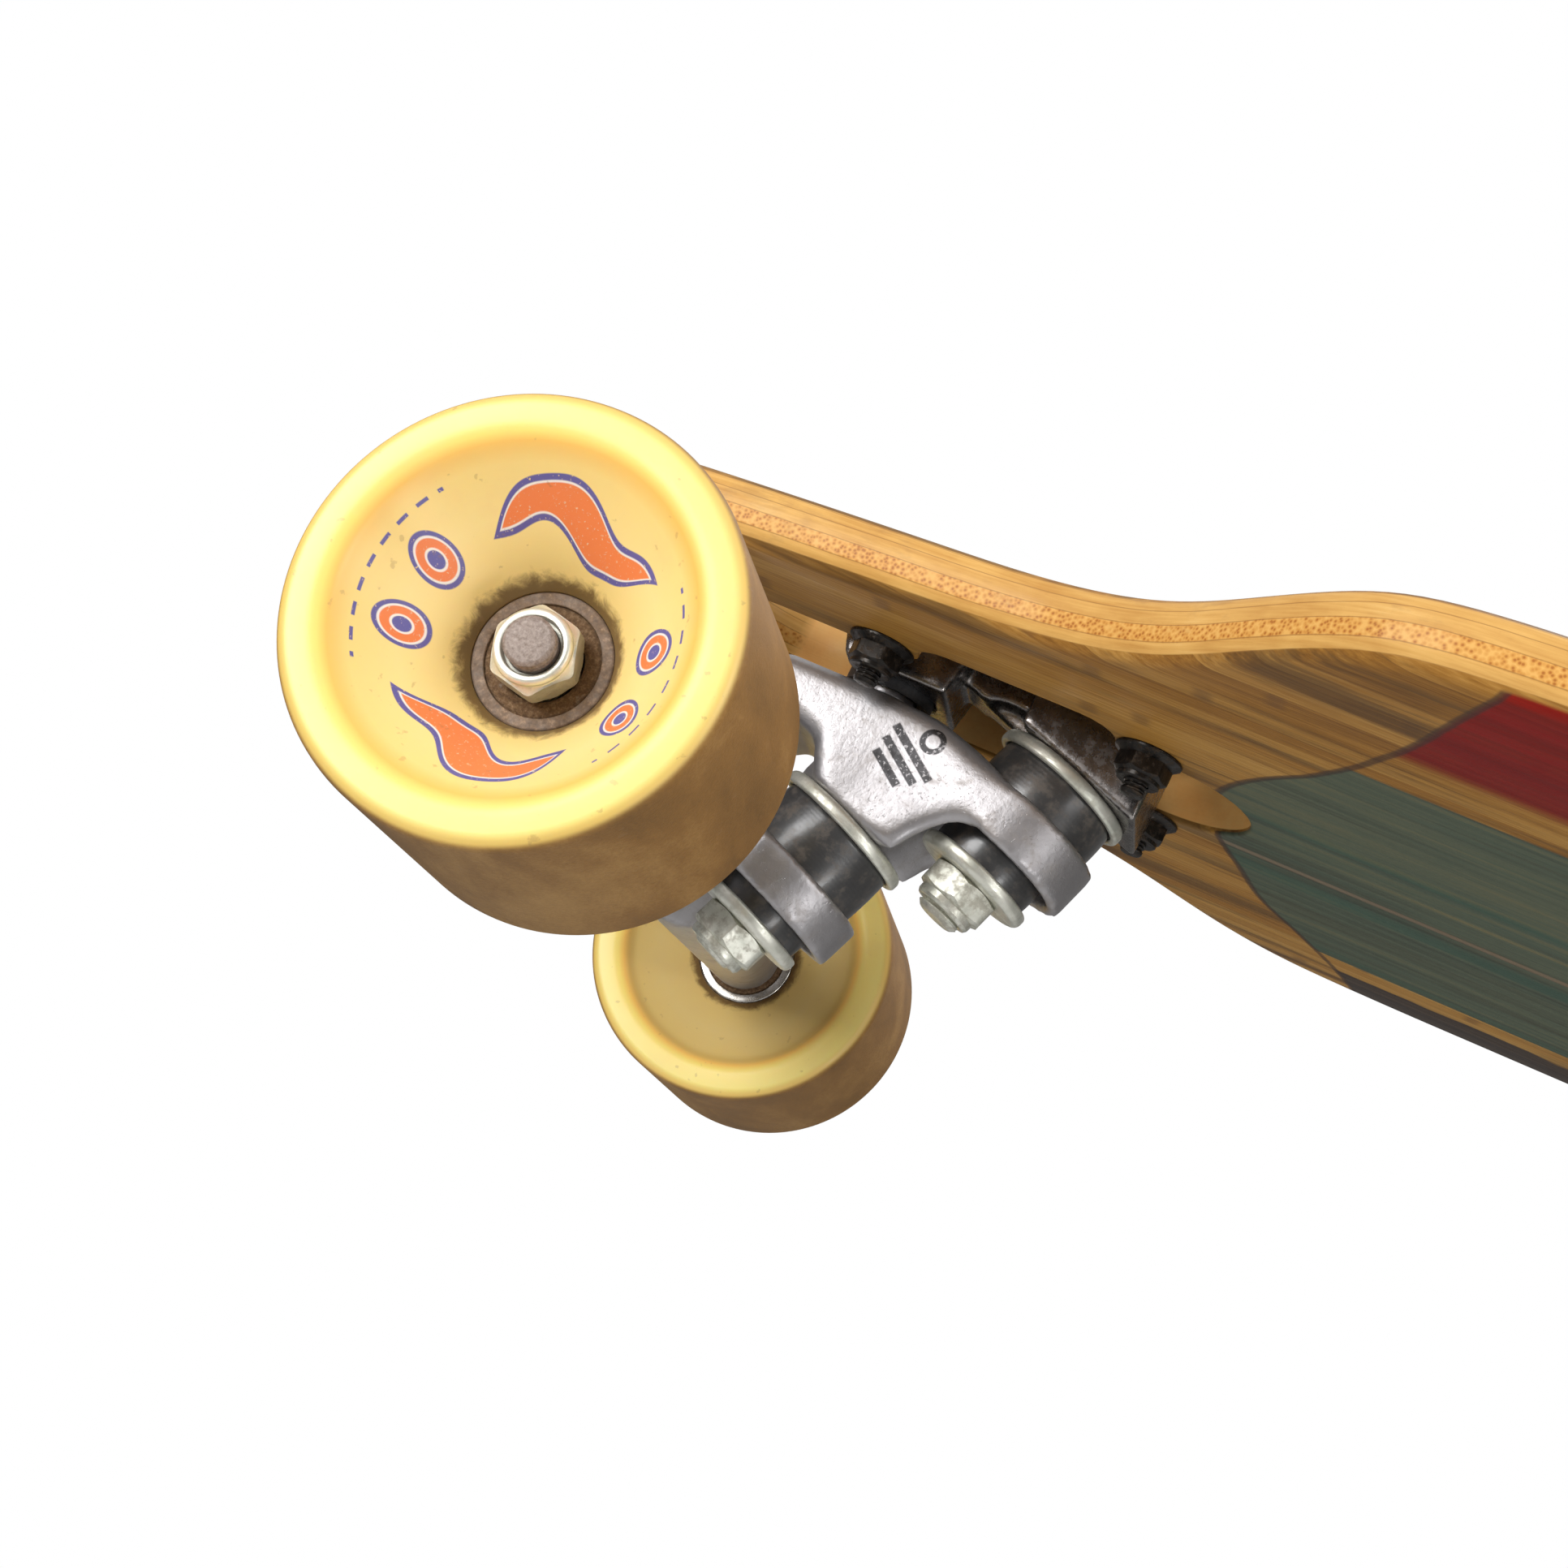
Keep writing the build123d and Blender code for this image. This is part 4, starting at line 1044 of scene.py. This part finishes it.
def wheel_surface(sizes):
    """A wheel's closed section turned about the axle, in millimetres from the truck's centre."""
    inner = BEARING_FACE
    outer = inner + BEARING_SPAN
    low, high, tread, lip = inner - 9.6, outer + 20.6, sizes.radius / MM, sizes.shoulder / MM
    seat, core = BEARING_RADIUS, 9.4
    points = [
        (seat, inner), (13.0, inner - 1.2), (25.2, low + 3.0), (27.4, low), (tread, low),
        (tread, high), (27.6, high), (24.9, high - 3.2), (13.0, outer + 2.4), (seat, outer),
        (seat, outer - BEARING_WIDTH), (core, outer - BEARING_WIDTH),
        (core, inner + BEARING_WIDTH), (seat, inner + BEARING_WIDTH),
    ]
    radii = [0.5, 0.9, 5.0, 4.0, lip, lip, 5.0, 7.0, 1.0, 0.4, 0.1, 0.1, 0.1, 0.1]
    profile = closed_rounded(points, radii, 7)
    dense = [profile[0]]
    for a, b in zip(profile, np.vstack([profile[1:], profile[:1]])):
        steps = max(1, int(np.linalg.norm(b - a) / 2.2))
        dense += [a + (b - a) * k / steps for k in range(1, steps + 1)]
    return turned(np.array(dense[:-1]), sizes.segments, closed=True)


class LONGBOARD_OT_wheels(bpy.types.Operator):
    """Turn the four urethane wheels"""

    bl_idname = "longboard.wheels"
    bl_label = "Wheels"

    def execute(self, context):
        surface = wheel_surface(context.scene.longboard_wheels)
        urethane = urethane_finish("urethane")
        for truck, end in TRUCKS.items():
            for side, way in SIDES.items():
                place = axle_matrix(end, way * -end)
                name = f"{truck}_{side}_wheel"
                rules = {"printed": lambda points: points[:, 2] > 112}
                make_piece(name + "_tyre", [(*surface, place)], name, urethane,
                           (name,), rules, 45)
        return {"FINISHED"}


def square_section(bore, radius, width, bore_round, outer_round):
    """Section of a plain ring from 0 to its width, with rounded corners."""
    points = [(bore, 0), (radius, 0), (radius, width), (bore, width)]
    return closed_rounded(points, [bore_round, outer_round, outer_round, bore_round], 4)


class LONGBOARD_OT_bearings(bpy.types.Operator):
    """Turn the bearing rings, shields and speed washers"""

    bl_idname = "longboard.bearings"
    bl_label = "Bearings"

    def execute(self, context):
        steel, shield = bearing_finish("bearing_steel"), shield_finish("shield")
        outer_steel = bearing_finish("outer_ring_steel", "grimy")
        plated = zinc_finish("washer_plate", 0.9)
        starts = (BEARING_FACE, BEARING_FACE + BEARING_SPAN - BEARING_WIDTH)
        ring = square_section(9.0, BEARING_RADIUS, BEARING_WIDTH, 0.2, 0.5)
        race = square_section(AXLE_RADIUS, 6.1, BEARING_WIDTH, 0.3, 0.2)
        cover = closed_rounded([(6.35, 0.5), (6.9, 0.3), (8.4, 0.3), (8.97, 0.55), (8.97, 0.95),
                                (6.35, 0.9)], [0.1, 0.4, 0.3, 0.1, 0.1, 0.1], 3)
        washer = square_section(AXLE_RADIUS, 6.3, WASHER_THICKNESS, 0.15, 0.35)
        far_face = Matrix.Translation((0, 0, BEARING_WIDTH))
        for truck, end in TRUCKS.items():
            races, washers = [], []
            for side, way in SIDES.items():
                place = axle_matrix(end, way * -end)
                rings, covers = [], []
                for start in starts:
                    slide = place @ Matrix.Translation((0, 0, start))
                    flip = slide @ far_face @ Matrix.Rotation(pi, 4, "X")
                    rings.append((*turned(ring + (0, start), 80, closed=True), place))
                    races.append((*turned(race, 64, closed=True), slide))
                    covers += [(*turned(cover, 80, closed=True), slide),
                               (*turned(cover, 80, closed=True), flip)]
                body = f"{truck}_{side}_wheel"
                rules = {"grimy": lambda points: points[:, 2] > 100}
                make_piece(f"{truck}_{side}_rings", rings, body, outer_steel,
                           (f"{truck}_{side}_bearing_outer_races",), rules)
                make_piece(f"{truck}_{side}_shields", covers, body, shield)
                for at in (HANGER_END, BEARING_FACE + BEARING_SPAN):
                    washers.append((*turned(washer, 64, closed=True),
                                    place @ Matrix.Translation((0, 0, at))))
            body = truck + "_hanger"
            make_piece(truck + "_inner_rings", races, body, steel,
                       (truck + "_bearing_inner_races",))
            make_piece(truck + "_spin_washers", washers, body, plated,
                       (truck + "_speed_washers",))
        return {"FINISHED"}


class LONGBOARD_OT_axles(bpy.types.Operator):
    """Turn the axles with threaded ends and their locknuts"""

    bl_idname = "longboard.axles"
    bl_label = "Axles and nuts"

    def execute(self, context):
        dull, plated = stub_finish("axle_steel"), zinc_finish("axle_nut_plate", 0.4)
        tip, start = AXLE_TIP, BEARING_FACE + BEARING_SPAN + WASHER_THICKNESS
        thread, wave = threaded(AXLE_RADIUS, AXLE_PITCH, start + 4.5, tip - 0.4, 0.5)
        half = [(0.0, 0.0), (AXLE_RADIUS, 0.0), (AXLE_RADIUS, start - 3), *thread,
                (3.9, tip - 0.35), (3.45, tip - 0.02),
                (3.3, tip), (0.0, tip)]
        rod = turned(np.array(half), 56, wave=wave)
        rows = hex_rows(HEX_FLATS, start, start + 4.6)
        collar = [(5.95, start + 4.75, 0, 0), (6.1, start + 5.15, 0, 0), (6.0, start + 5.65, 0, 0),
                  (5.65, start + 6.02, 0, 0),
                  (5.2, start + 6.16, 0, 0), (4.75, start + 6.02, 0, 0), (4.5, start + 5.6, 0, 0)]
        nut = faceted(rows + collar + [(4.45, start + 4.9, 0, 0), (4.05, start + 4.8, 0, 0),
                                       (4.05, start, 0, 0)], 84)
        for truck, end in TRUCKS.items():
            rods, nuts = [], []
            for way in SIDES.values():
                place = axle_matrix(end, way)
                rods.append((*rod, place))
                nuts.append((*nut, place @ Matrix.Rotation(0.5 + 0.7 * way, 4, "Z")))
            body = truck + "_hanger"
            make_piece(truck + "_axle_rod", rods, body, dull, (truck + "_axle",), smooth=32)
            make_piece(truck + "_axle_locknuts", nuts, body, plated,
                       (truck + "_axle_nuts",), smooth=38)
        return {"FINISHED"}


def barrel(bottom, top, radius, bore, belly):
    """Bushing section: rounded ends and a side that swells by belly (1 - (2 u - 1)^2)."""
    u = np.linspace(0, 1, 14)[1:-1]
    height = bottom + (top - bottom) * u
    side = [(radius - belly * (2 * k - 1) ** 2, h) for k, h in zip(u, height)]
    low = [(bore, bottom), (radius - belly - 1.3, bottom), (radius - belly - 0.45, bottom + 0.25),
           (radius - belly - 0.1, bottom + 0.8)]
    high = [(radius - belly - 0.1, top - 0.8), (radius - belly - 0.45, top - 0.25),
            (radius - belly - 1.3, top), (bore, top)]
    return np.array(low + side + high)


class LONGBOARD_OT_bushings(bpy.types.Operator):
    """Mould the eight bushings"""

    bl_idname = "longboard.bushings"
    bl_label = "Bushings"

    def execute(self, context):
        rubber = rubber_finish("bushing_rubber")
        stages = {
            "upper": ("root", "bridge", (1.9, 13.7), (-10.9, -1.9)),
            "lower": ("bridge", "hanger", (1.6, 16.3), (-9.1, -1.6)),
        }
        for truck, end in TRUCKS.items():
            for stage, (holder, link, board, road) in stages.items():
                place = kingpin_matrix(end, stage)
                for name, (low, high), radius, fixed, free in (
                    ("board_bushing", board, BOARD_BUSHING_RADIUS, board[1], board[0]),
                    ("road_bushing", road, ROAD_BUSHING_RADIUS, road[0], road[1]),
                ):
                    section = barrel(low, high, radius, 4.85, 0.35)
                    piece = make_piece(f"{truck}_{stage}_{name}_rubber",
                                       [(*turned(section, 96, closed=True), place)], None,
                                       rubber, (f"{truck}_{stage}_{name}",), smooth=60)
                    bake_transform(piece)
        return {"FINISHED"}


class LONGBOARD_OT_kingpins(bpy.types.Operator):
    """Turn the kingpins with threaded tips, their cup washers and locknuts"""

    bl_idname = "longboard.kingpins"
    bl_label = "Kingpin stacks"

    def execute(self, context):
        plated, bright = zinc_finish("kingpin_plate", 0.8), zinc_finish("washer_zinc", 0.45)
        pitch = context.scene.longboard_trucks.pitch / MM
        # holding body, then heights up the kingpin: head's seat, tip, board cup's face, nut's top
        stages = {"upper": ("root", 29.0, -21.5, 15.2, -12.4),
                  "lower": ("bridge", 35.0, -18.6, 17.8, -10.6)}
        for truck, end in TRUCKS.items():
            for stage, (holder, seat, tip, face, below) in stages.items():
                place = kingpin_matrix(end, stage)
                body = body_name(truck, holder)
                name = f"{truck}_{stage}"
                self.pin(name, place, body, plated, seat, tip, below, pitch)
                board_cup = place @ Matrix.Translation((0, 0, face)) @ Matrix.Rotation(pi, 4, "X")
                road_cup = place @ Matrix.Translation((0, 0, below))
                cups = [(*cup_surface(BOARD_CUP_RADIUS), board_cup),
                        (*cup_surface(ROAD_CUP_RADIUS), road_cup)]
                make_piece(name + "_cups", cups, body, bright, (name + "_cup_washers",),
                           smooth=40)
        return {"FINISHED"}

    def pin(self, name, place, body, finish, seat, tip, below, pitch):
        """One kingpin with its hexagonal head, and the locknut under it."""
        thread, wave = threaded(KINGPIN_RADIUS, pitch, tip + 0.9, below + 1.0, 0.5)
        rod = [(0.0, tip), (3.5, tip), (3.9, tip + 0.15), *thread, (KINGPIN_RADIUS, seat),
               (0.0, seat)]
        head = faceted([(2.0, seat - 0.3, 0, 0), *hex_rows(HEX_FLATS, seat, seat + 4.4),
                        (2.0, seat + 4.4, 0, 0)], 72)
        shank = turned(np.array(rod), 64, wave=wave)
        make_piece(name + "_pin", [(*shank, place), (*head, place)], body, finish,
                   (name + "_kingpin",), smooth=50)
        rows = hex_rows(KINGPIN_NUT_FLATS, below - 5.3, below)
        collar = [(6.25, below - 5.45, 0, 0), (6.2, below - 6.7, 0, 0), (5.8, below - 7.3, 0, 0),
                  (5.2, below - 7.4, 0, 0)]
        nut = faceted([(KINGPIN_BORE, below, 0, 0), (KINGPIN_BORE, below - 7.1, 0, 0),
                       *collar[::-1], *rows], 84)
        make_piece(name + "_locknut", [(*nut, place @ Matrix.Rotation(0.2, 4, "Z"))], body,
                   finish,
                   (name + "_kingpin_nut",), smooth=24)


def cup_surface(radius):
    """Dished washer with a thick rolled rim, its plate at 0 and its rim reaching up."""
    plate, rim, bore = 1.5, 2.8, KINGPIN_BORE
    points = [(bore, 0), (radius, 0), (radius, rim), (radius - 1.5, rim), (radius - 1.9, plate),
              (bore, plate)]
    return turned(closed_rounded(points, [0.3, 1.35, 0.72, 0.5, 0.5, 0.3], 6), 112, closed=True)


class LONGBOARD_OT_hardware(bpy.types.Operator):
    """Turn the deck bolts and their flanged locknuts"""

    bl_idname = "longboard.hardware"
    bl_label = "Mounting hardware"

    def execute(self, context):
        black = oxide_finish("black_oxide")
        thread, wave = threaded(BOLT_RADIUS, BOLT_PITCH, -7.9, 0.5, 0.33)

        def screw(r, h, t):
            fold = np.mod(t + pi / 6, pi / 3) - pi / 6
            in_socket = (h > 17.4) & (r < 1.9) & (r > 0.5)
            return np.where(in_socket, 1.55 / np.cos(fold), wave(r, h, t))

        point = [(0, -8.6), (1.8, -8.6), (2.1, -8.45)]
        head = [(BOLT_RADIUS, 17.0), (4.45, 17.0), (4.6, 17.2), (4.6, 18.0), (4.4, 18.8),
                (3.8, 19.4)]
        socket = [(3.0, 19.6), (1.95, 19.6), (1.8, 19.5), (1.8, 17.6), (0, 17.6)]
        profile = point + list(thread) + head + socket
        bolt = turned(np.array(profile, float), 48, wave=screw)
        rows = [(2.45, 0, 0, 0), (6.4, 0, 0, 0), (6.6, -0.25, 0, 0), (6.55, -0.6, 0, 0),
                (5.5, -1.35, 0, 0)]
        rows += [(0, -1.6, BOLT_NUT_FLATS, 0), (0, -4.6, BOLT_NUT_FLATS, 0.35), (4.5, -4.9, 0, 0),
                 (4.3, -5.0, 0, 0), (4.25, -5.7, 0, 0),
                 (3.9, -6.0, 0, 0), (2.45, -6.0, 0, 0)]
        nut = faceted(rows, 72)
        bolts, nuts = [], []
        for end in TRUCKS.values():
            base = truck_matrix(end)
            along, across = BOLT_PATTERN
            corners = ((-along, -across), (along, -across), (-along, across), (along, across))
            for i, (x, y) in enumerate(corners):
                place = base @ Matrix.Translation((x, y, 0))
                place.translation.z = DECK_UNDERSIDE * MM
                turn = Matrix.Rotation(0.4 + 1.3 * i + end, 4, "Z")
                bolts.append((*bolt, place @ turn))
                nuts.append((*nut, place @ turn))
        make_piece("deck_bolts", bolts, "root", black, ("mounting_bolts",),
                   smooth=40)
        make_piece("deck_locknuts", nuts, "root", black, ("mounting_nuts",),
                   smooth=24)
        return {"FINISHED"}


def softened_copy(context, name, node, voxel, passes):
    """Merged copy of a casting, remeshed in even cells and smoothed so its edges round over."""
    mesh = frame["nodes"][node].data.copy()
    work = bmesh.new()
    work.from_mesh(mesh)
    bmesh.ops.remove_doubles(work, verts=work.verts, dist=1e-6)
    work.to_mesh(mesh)
    work.free()
    source = bpy.data.objects.new(name + "_source", mesh)
    context.scene.collection.objects.link(source)
    remesh = source.modifiers.new("cells", "REMESH")
    remesh.mode = "VOXEL"
    remesh.voxel_size = voxel
    smooth = source.modifiers.new("soften", "SMOOTH")
    smooth.iterations = passes
    smooth.factor = 0.5
    context.view_layer.update()
    finished = source.evaluated_get(context.evaluated_depsgraph_get())
    result = bpy.data.meshes.new_from_object(finished)
    bpy.data.objects.remove(source)
    result.name = name
    return result


def blended_cheeks(world, end):
    """A bridge's points in metres, widened so its cheeks run smoothly into the bushing ring. With x
    and y across the kingpin in millimetres, the half width grows from 14 by
    2.3 (3 u^2 - 2 u^3), u = (x + 27) / 27, where it isn't already the ring's."""
    place = np.array(kingpin_matrix(end, "upper"), float)
    back = np.linalg.inv(place)
    local = world @ back[:3, :3].T + back[:3, 3]
    x = local[:, 0]
    u = np.clip((x + CHEEK_BLEND) / CHEEK_BLEND, 0, 1)
    gain = BRIDGE_RING_RADIUS - CHEEK_HALF_WIDTH
    wanted = CHEEK_HALF_WIDTH + gain * u * u * (3 - 2 * u)
    actual = np.maximum(CHEEK_HALF_WIDTH, np.sqrt(np.maximum(BRIDGE_RING_RADIUS**2 - x * x, 0)))
    local[:, 1] *= np.where(x < 0, np.maximum(wanted / actual, 1), 1)
    return local @ place[:3, :3].T + place[:3, 3], np.exp(-((x + 11) / 6) ** 2)


def eased(points, edges, weight, passes):
    """Laplacian smoothing: p += weight (mean of neighbours - p) / 2, a number of times."""
    a, b = edges[:, 0], edges[:, 1]
    count = np.bincount(a, minlength=len(points)) + np.bincount(b, minlength=len(points))
    for _ in range(passes):
        mean = np.stack([np.bincount(a, points[b, k],
                                     len(points)) + np.bincount(b, points[a, k], len(points))
                         for k in range(3)], 1) / count[:, None]
        points = points + 0.5 * weight[:, None] * (mean - points)
    return points


class LONGBOARD_OT_castings(bpy.types.Operator):
    """Round over the cast baseplates, bridges and hangers"""

    bl_idname = "longboard.castings"
    bl_label = "Castings"

    def execute(self, context):
        sizes = context.scene.longboard_trucks
        kinds = {
            "baseplate": ("root", "dark_alloy", gunmetal_finish("gunmetal")),
            "bridge": ("bridge", "cast_alloy", cast_finish("cast_bridge", marked=True)),
            "hanger": ("hanger", "cast_alloy", cast_finish("cast_hanger")),
        }
        for truck, end in TRUCKS.items():
            for kind, (holder, slot, finish) in kinds.items():
                node = f"{truck}_{kind}"
                mesh = softened_copy(context, node + "_casting", node, sizes.voxel, sizes.soften)
                self.place(context, mesh, node, body_name(truck, holder), slot, finish, end)
        return {"FINISHED"}

    def place(self, context, mesh, node, body, slot, finish, end):
        """Puts a casting in the scene with its own truck's coordinates as an attribute."""
        points = np.empty(len(mesh.vertices) * 3, np.float32)
        mesh.vertices.foreach_get("co", points)
        points = points.reshape(-1, 3).astype(float)
        if node.endswith("bridge"):
            points, near = blended_cheeks(points, end)
            edges = np.empty(len(mesh.edges) * 2, np.int32)
            mesh.edges.foreach_get("vertices", edges)
            points = eased(points, edges.reshape(-1, 2), near, 45)
            mesh.vertices.foreach_set("co", points.astype(np.float32).ravel())
        back = np.array(truck_matrix(end).inverted(), float)
        own = (points @ back[:3, :3].T + back[:3, 3]) * MM
        attribute = mesh.attributes.new("truck", "FLOAT_VECTOR", "POINT")
        attribute.data.foreach_set("vector", own.astype(np.float32).ravel())
        mesh.materials.clear()
        mesh.materials.append(finish)
        mesh.polygons.foreach_set("use_smooth", np.ones(len(mesh.polygons), bool))
        piece = bpy.data.objects.new(node + "_casting", mesh)
        context.scene.collection.objects.link(piece)
        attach(piece, body)
        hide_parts(node)


class LONGBOARD_OT_frame_nodes(bpy.types.Operator):
    """Finish the inner pieces that keep their engineering shape"""

    bl_idname = "longboard.frame_nodes"
    bl_label = "Inner pieces"

    def execute(self, context):
        plastic = moulding_finish("pivot_plastic", (0.02, 0.02, 0.022))
        steel = bearing_finish("ball_steel")
        kinds = {"pivot_cup": plastic, "bearing_spacers": steel, "bearing_balls": steel}
        for name, node in frame["nodes"].items():
            for kind, finish in kinds.items():
                if name.endswith(kind):
                    node.data.materials.clear()
                    node.data.materials.append(finish)
        return {"FINISHED"}


class LONGBOARD_OT_studio(bpy.types.Operator):
    """Set the floor, soft lights, world and camera"""

    bl_idname = "longboard.studio"
    bl_label = "Studio"

    def execute(self, context):
        scene = context.scene
        sizes = scene.longboard_studio
        place = Vector(sizes.camera_place)
        right = Vector((0.89037, 0.13315, 0.43534))
        up = Vector((-0.38716, -0.28159, 0.87796))
        back = Vector((0.23948, -0.95025, -0.19917))
        camera = bpy.data.objects.new("camera", bpy.data.cameras.new("camera"))
        scene.collection.objects.link(camera)
        turn = Matrix((right, up, back)).transposed().to_4x4()
        camera.matrix_world = Matrix.Translation(place) @ turn
        camera.data.lens = sizes.lens
        camera.data.clip_start = 0.01
        scene.camera = camera
        self.floor(context, sizes.floor_height)
        target = Vector((-0.33, -0.03, 0.04))
        power = sizes.key_power
        self.softbox("key", place - right * 0.42 + up * 0.46 + back * 0.10, target, 0.42, power)
        self.softbox("fill", place + right * 0.65 + up * 0.05 + back * 0.15, target, 0.35,
                     power * 0.42)
        self.softbox("glint", place + right * 0.30 - up * 0.30 + back * 0.05, target, 0.12,
                     power * 0.10)
        self.softbox("top", Vector((0.1, 0.35, 0.95)), Vector((-0.1, 0, 0.08)), 0.9, power * 1.1)
        self.world(scene)
        scene.view_settings.view_transform = "Standard"
        return {"FINISHED"}

    def floor(self, context, height):
        """A square of pale, faintly mottled floor well below the board."""
        mesh = bpy.data.meshes.new("floor")
        mesh.from_pydata([(-1.6, -1.6, height), (1.6, -1.6, height), (1.6, 1.6, height),
                          (-1.6, 1.6, height)], [], [(0, 1, 2, 3)])
        floor = bpy.data.objects.new("floor", mesh)
        context.scene.collection.objects.link(floor)
        f = Finish("floor_paint")
        tone = f.ramp(f.noise(f.position(), 3, 4), [(0.3, (0.56, 0.56, 0.555)),
                                                    (0.7, (0.60, 0.60, 0.595))])
        mesh.materials.append(f.set(colour=tone, roughness=0.7))

    def softbox(self, name, place, target, size, power):
        light = bpy.data.lights.new(name, "AREA")
        light.shape = "SQUARE"
        light.size = size
        light.energy = power
        lamp = bpy.data.objects.new(name, light)
        bpy.context.scene.collection.objects.link(lamp)
        aim = (target - place).to_track_quat("-Z", "Y").to_matrix().to_4x4()
        lamp.matrix_world = Matrix.Translation(place) @ aim

    def world(self, scene):
        """White behind the object; a softer graded sky lights and mirrors in it."""
        world = bpy.data.worlds.new("studio")
        scene.world = world
        world.use_nodes = True
        tree = world.node_tree
        tree.nodes.clear()
        out = tree.nodes.new("ShaderNodeOutputWorld")
        white = tree.nodes.new("ShaderNodeBackground")
        white.inputs["Color"].default_value = (1, 1, 1, 1)
        white.inputs["Strength"].default_value = 1.0
        sky = tree.nodes.new("ShaderNodeBackground")
        coordinates = tree.nodes.new("ShaderNodeTexCoord")
        split = tree.nodes.new("ShaderNodeSeparateXYZ")
        ramp = tree.nodes.new("ShaderNodeValToRGB")
        ramp.color_ramp.elements[0].position = 0.30
        ramp.color_ramp.elements[0].color = (0.03, 0.028, 0.026, 1)
        ramp.color_ramp.elements[1].position = 0.85
        ramp.color_ramp.elements[1].color = (1.0, 1.0, 1.0, 1)
        ramp.color_ramp.elements.new(0.52).color = (0.30, 0.295, 0.29, 1)
        scale = tree.nodes.new("ShaderNodeMath")
        scale.operation = "MULTIPLY_ADD"
        scale.inputs[1].default_value = 0.5
        scale.inputs[2].default_value = 0.5
        tree.links.new(coordinates.outputs["Generated"], split.inputs[0])
        tree.links.new(split.outputs["Z"], scale.inputs[0])
        tree.links.new(scale.outputs[0], ramp.inputs[0])
        tree.links.new(ramp.outputs["Color"], sky.inputs["Color"])
        sky.inputs["Strength"].default_value = 0.6
        path = tree.nodes.new("ShaderNodeLightPath")
        mix = tree.nodes.new("ShaderNodeMixShader")
        tree.links.new(path.outputs["Is Camera Ray"], mix.inputs[0])
        tree.links.new(sky.outputs[0], mix.inputs[1])
        tree.links.new(white.outputs[0], mix.inputs[2])
        tree.links.new(mix.outputs[0], out.inputs["Surface"])


class LONGBOARD_PT_panel(bpy.types.Panel):
    """Sidebar list of the longboard's steps"""

    bl_label = "Longboard"
    bl_space_type = "VIEW_3D"
    bl_region_type = "UI"
    bl_category = "Longboard"

    def draw(self, context):
        for step in STEPS:
            self.layout.operator(step.bl_idname)


STEPS = (
    LONGBOARD_OT_deck, LONGBOARD_OT_grip, LONGBOARD_OT_wheels, LONGBOARD_OT_bearings,
    LONGBOARD_OT_axles, LONGBOARD_OT_bushings, LONGBOARD_OT_kingpins, LONGBOARD_OT_hardware,
    LONGBOARD_OT_castings, LONGBOARD_OT_frame_nodes, LONGBOARD_OT_studio,
)
SETTINGS = {
    "longboard_deck": DeckSettings,
    "longboard_trucks": TruckSettings,
    "longboard_wheels": WheelSettings,
    "longboard_studio": StudioSettings,
}


def register():
    for group in SETTINGS.values():
        bpy.utils.register_class(group)
    for step in (*STEPS, LONGBOARD_PT_panel):
        bpy.utils.register_class(step)
    for name, group in SETTINGS.items():
        setattr(bpy.types.Scene, name, PointerProperty(type=group))


def unregister():
    for name in SETTINGS:
        delattr(bpy.types.Scene, name)
    for step in (LONGBOARD_PT_panel, *reversed(STEPS)):
        bpy.utils.unregister_class(step)
    for group in SETTINGS.values():
        bpy.utils.unregister_class(group)


def main():
    register()
    for step in STEPS:
        getattr(bpy.ops.longboard, step.bl_idname.split(".")[1])()


if __name__ == "__main__":
    main()
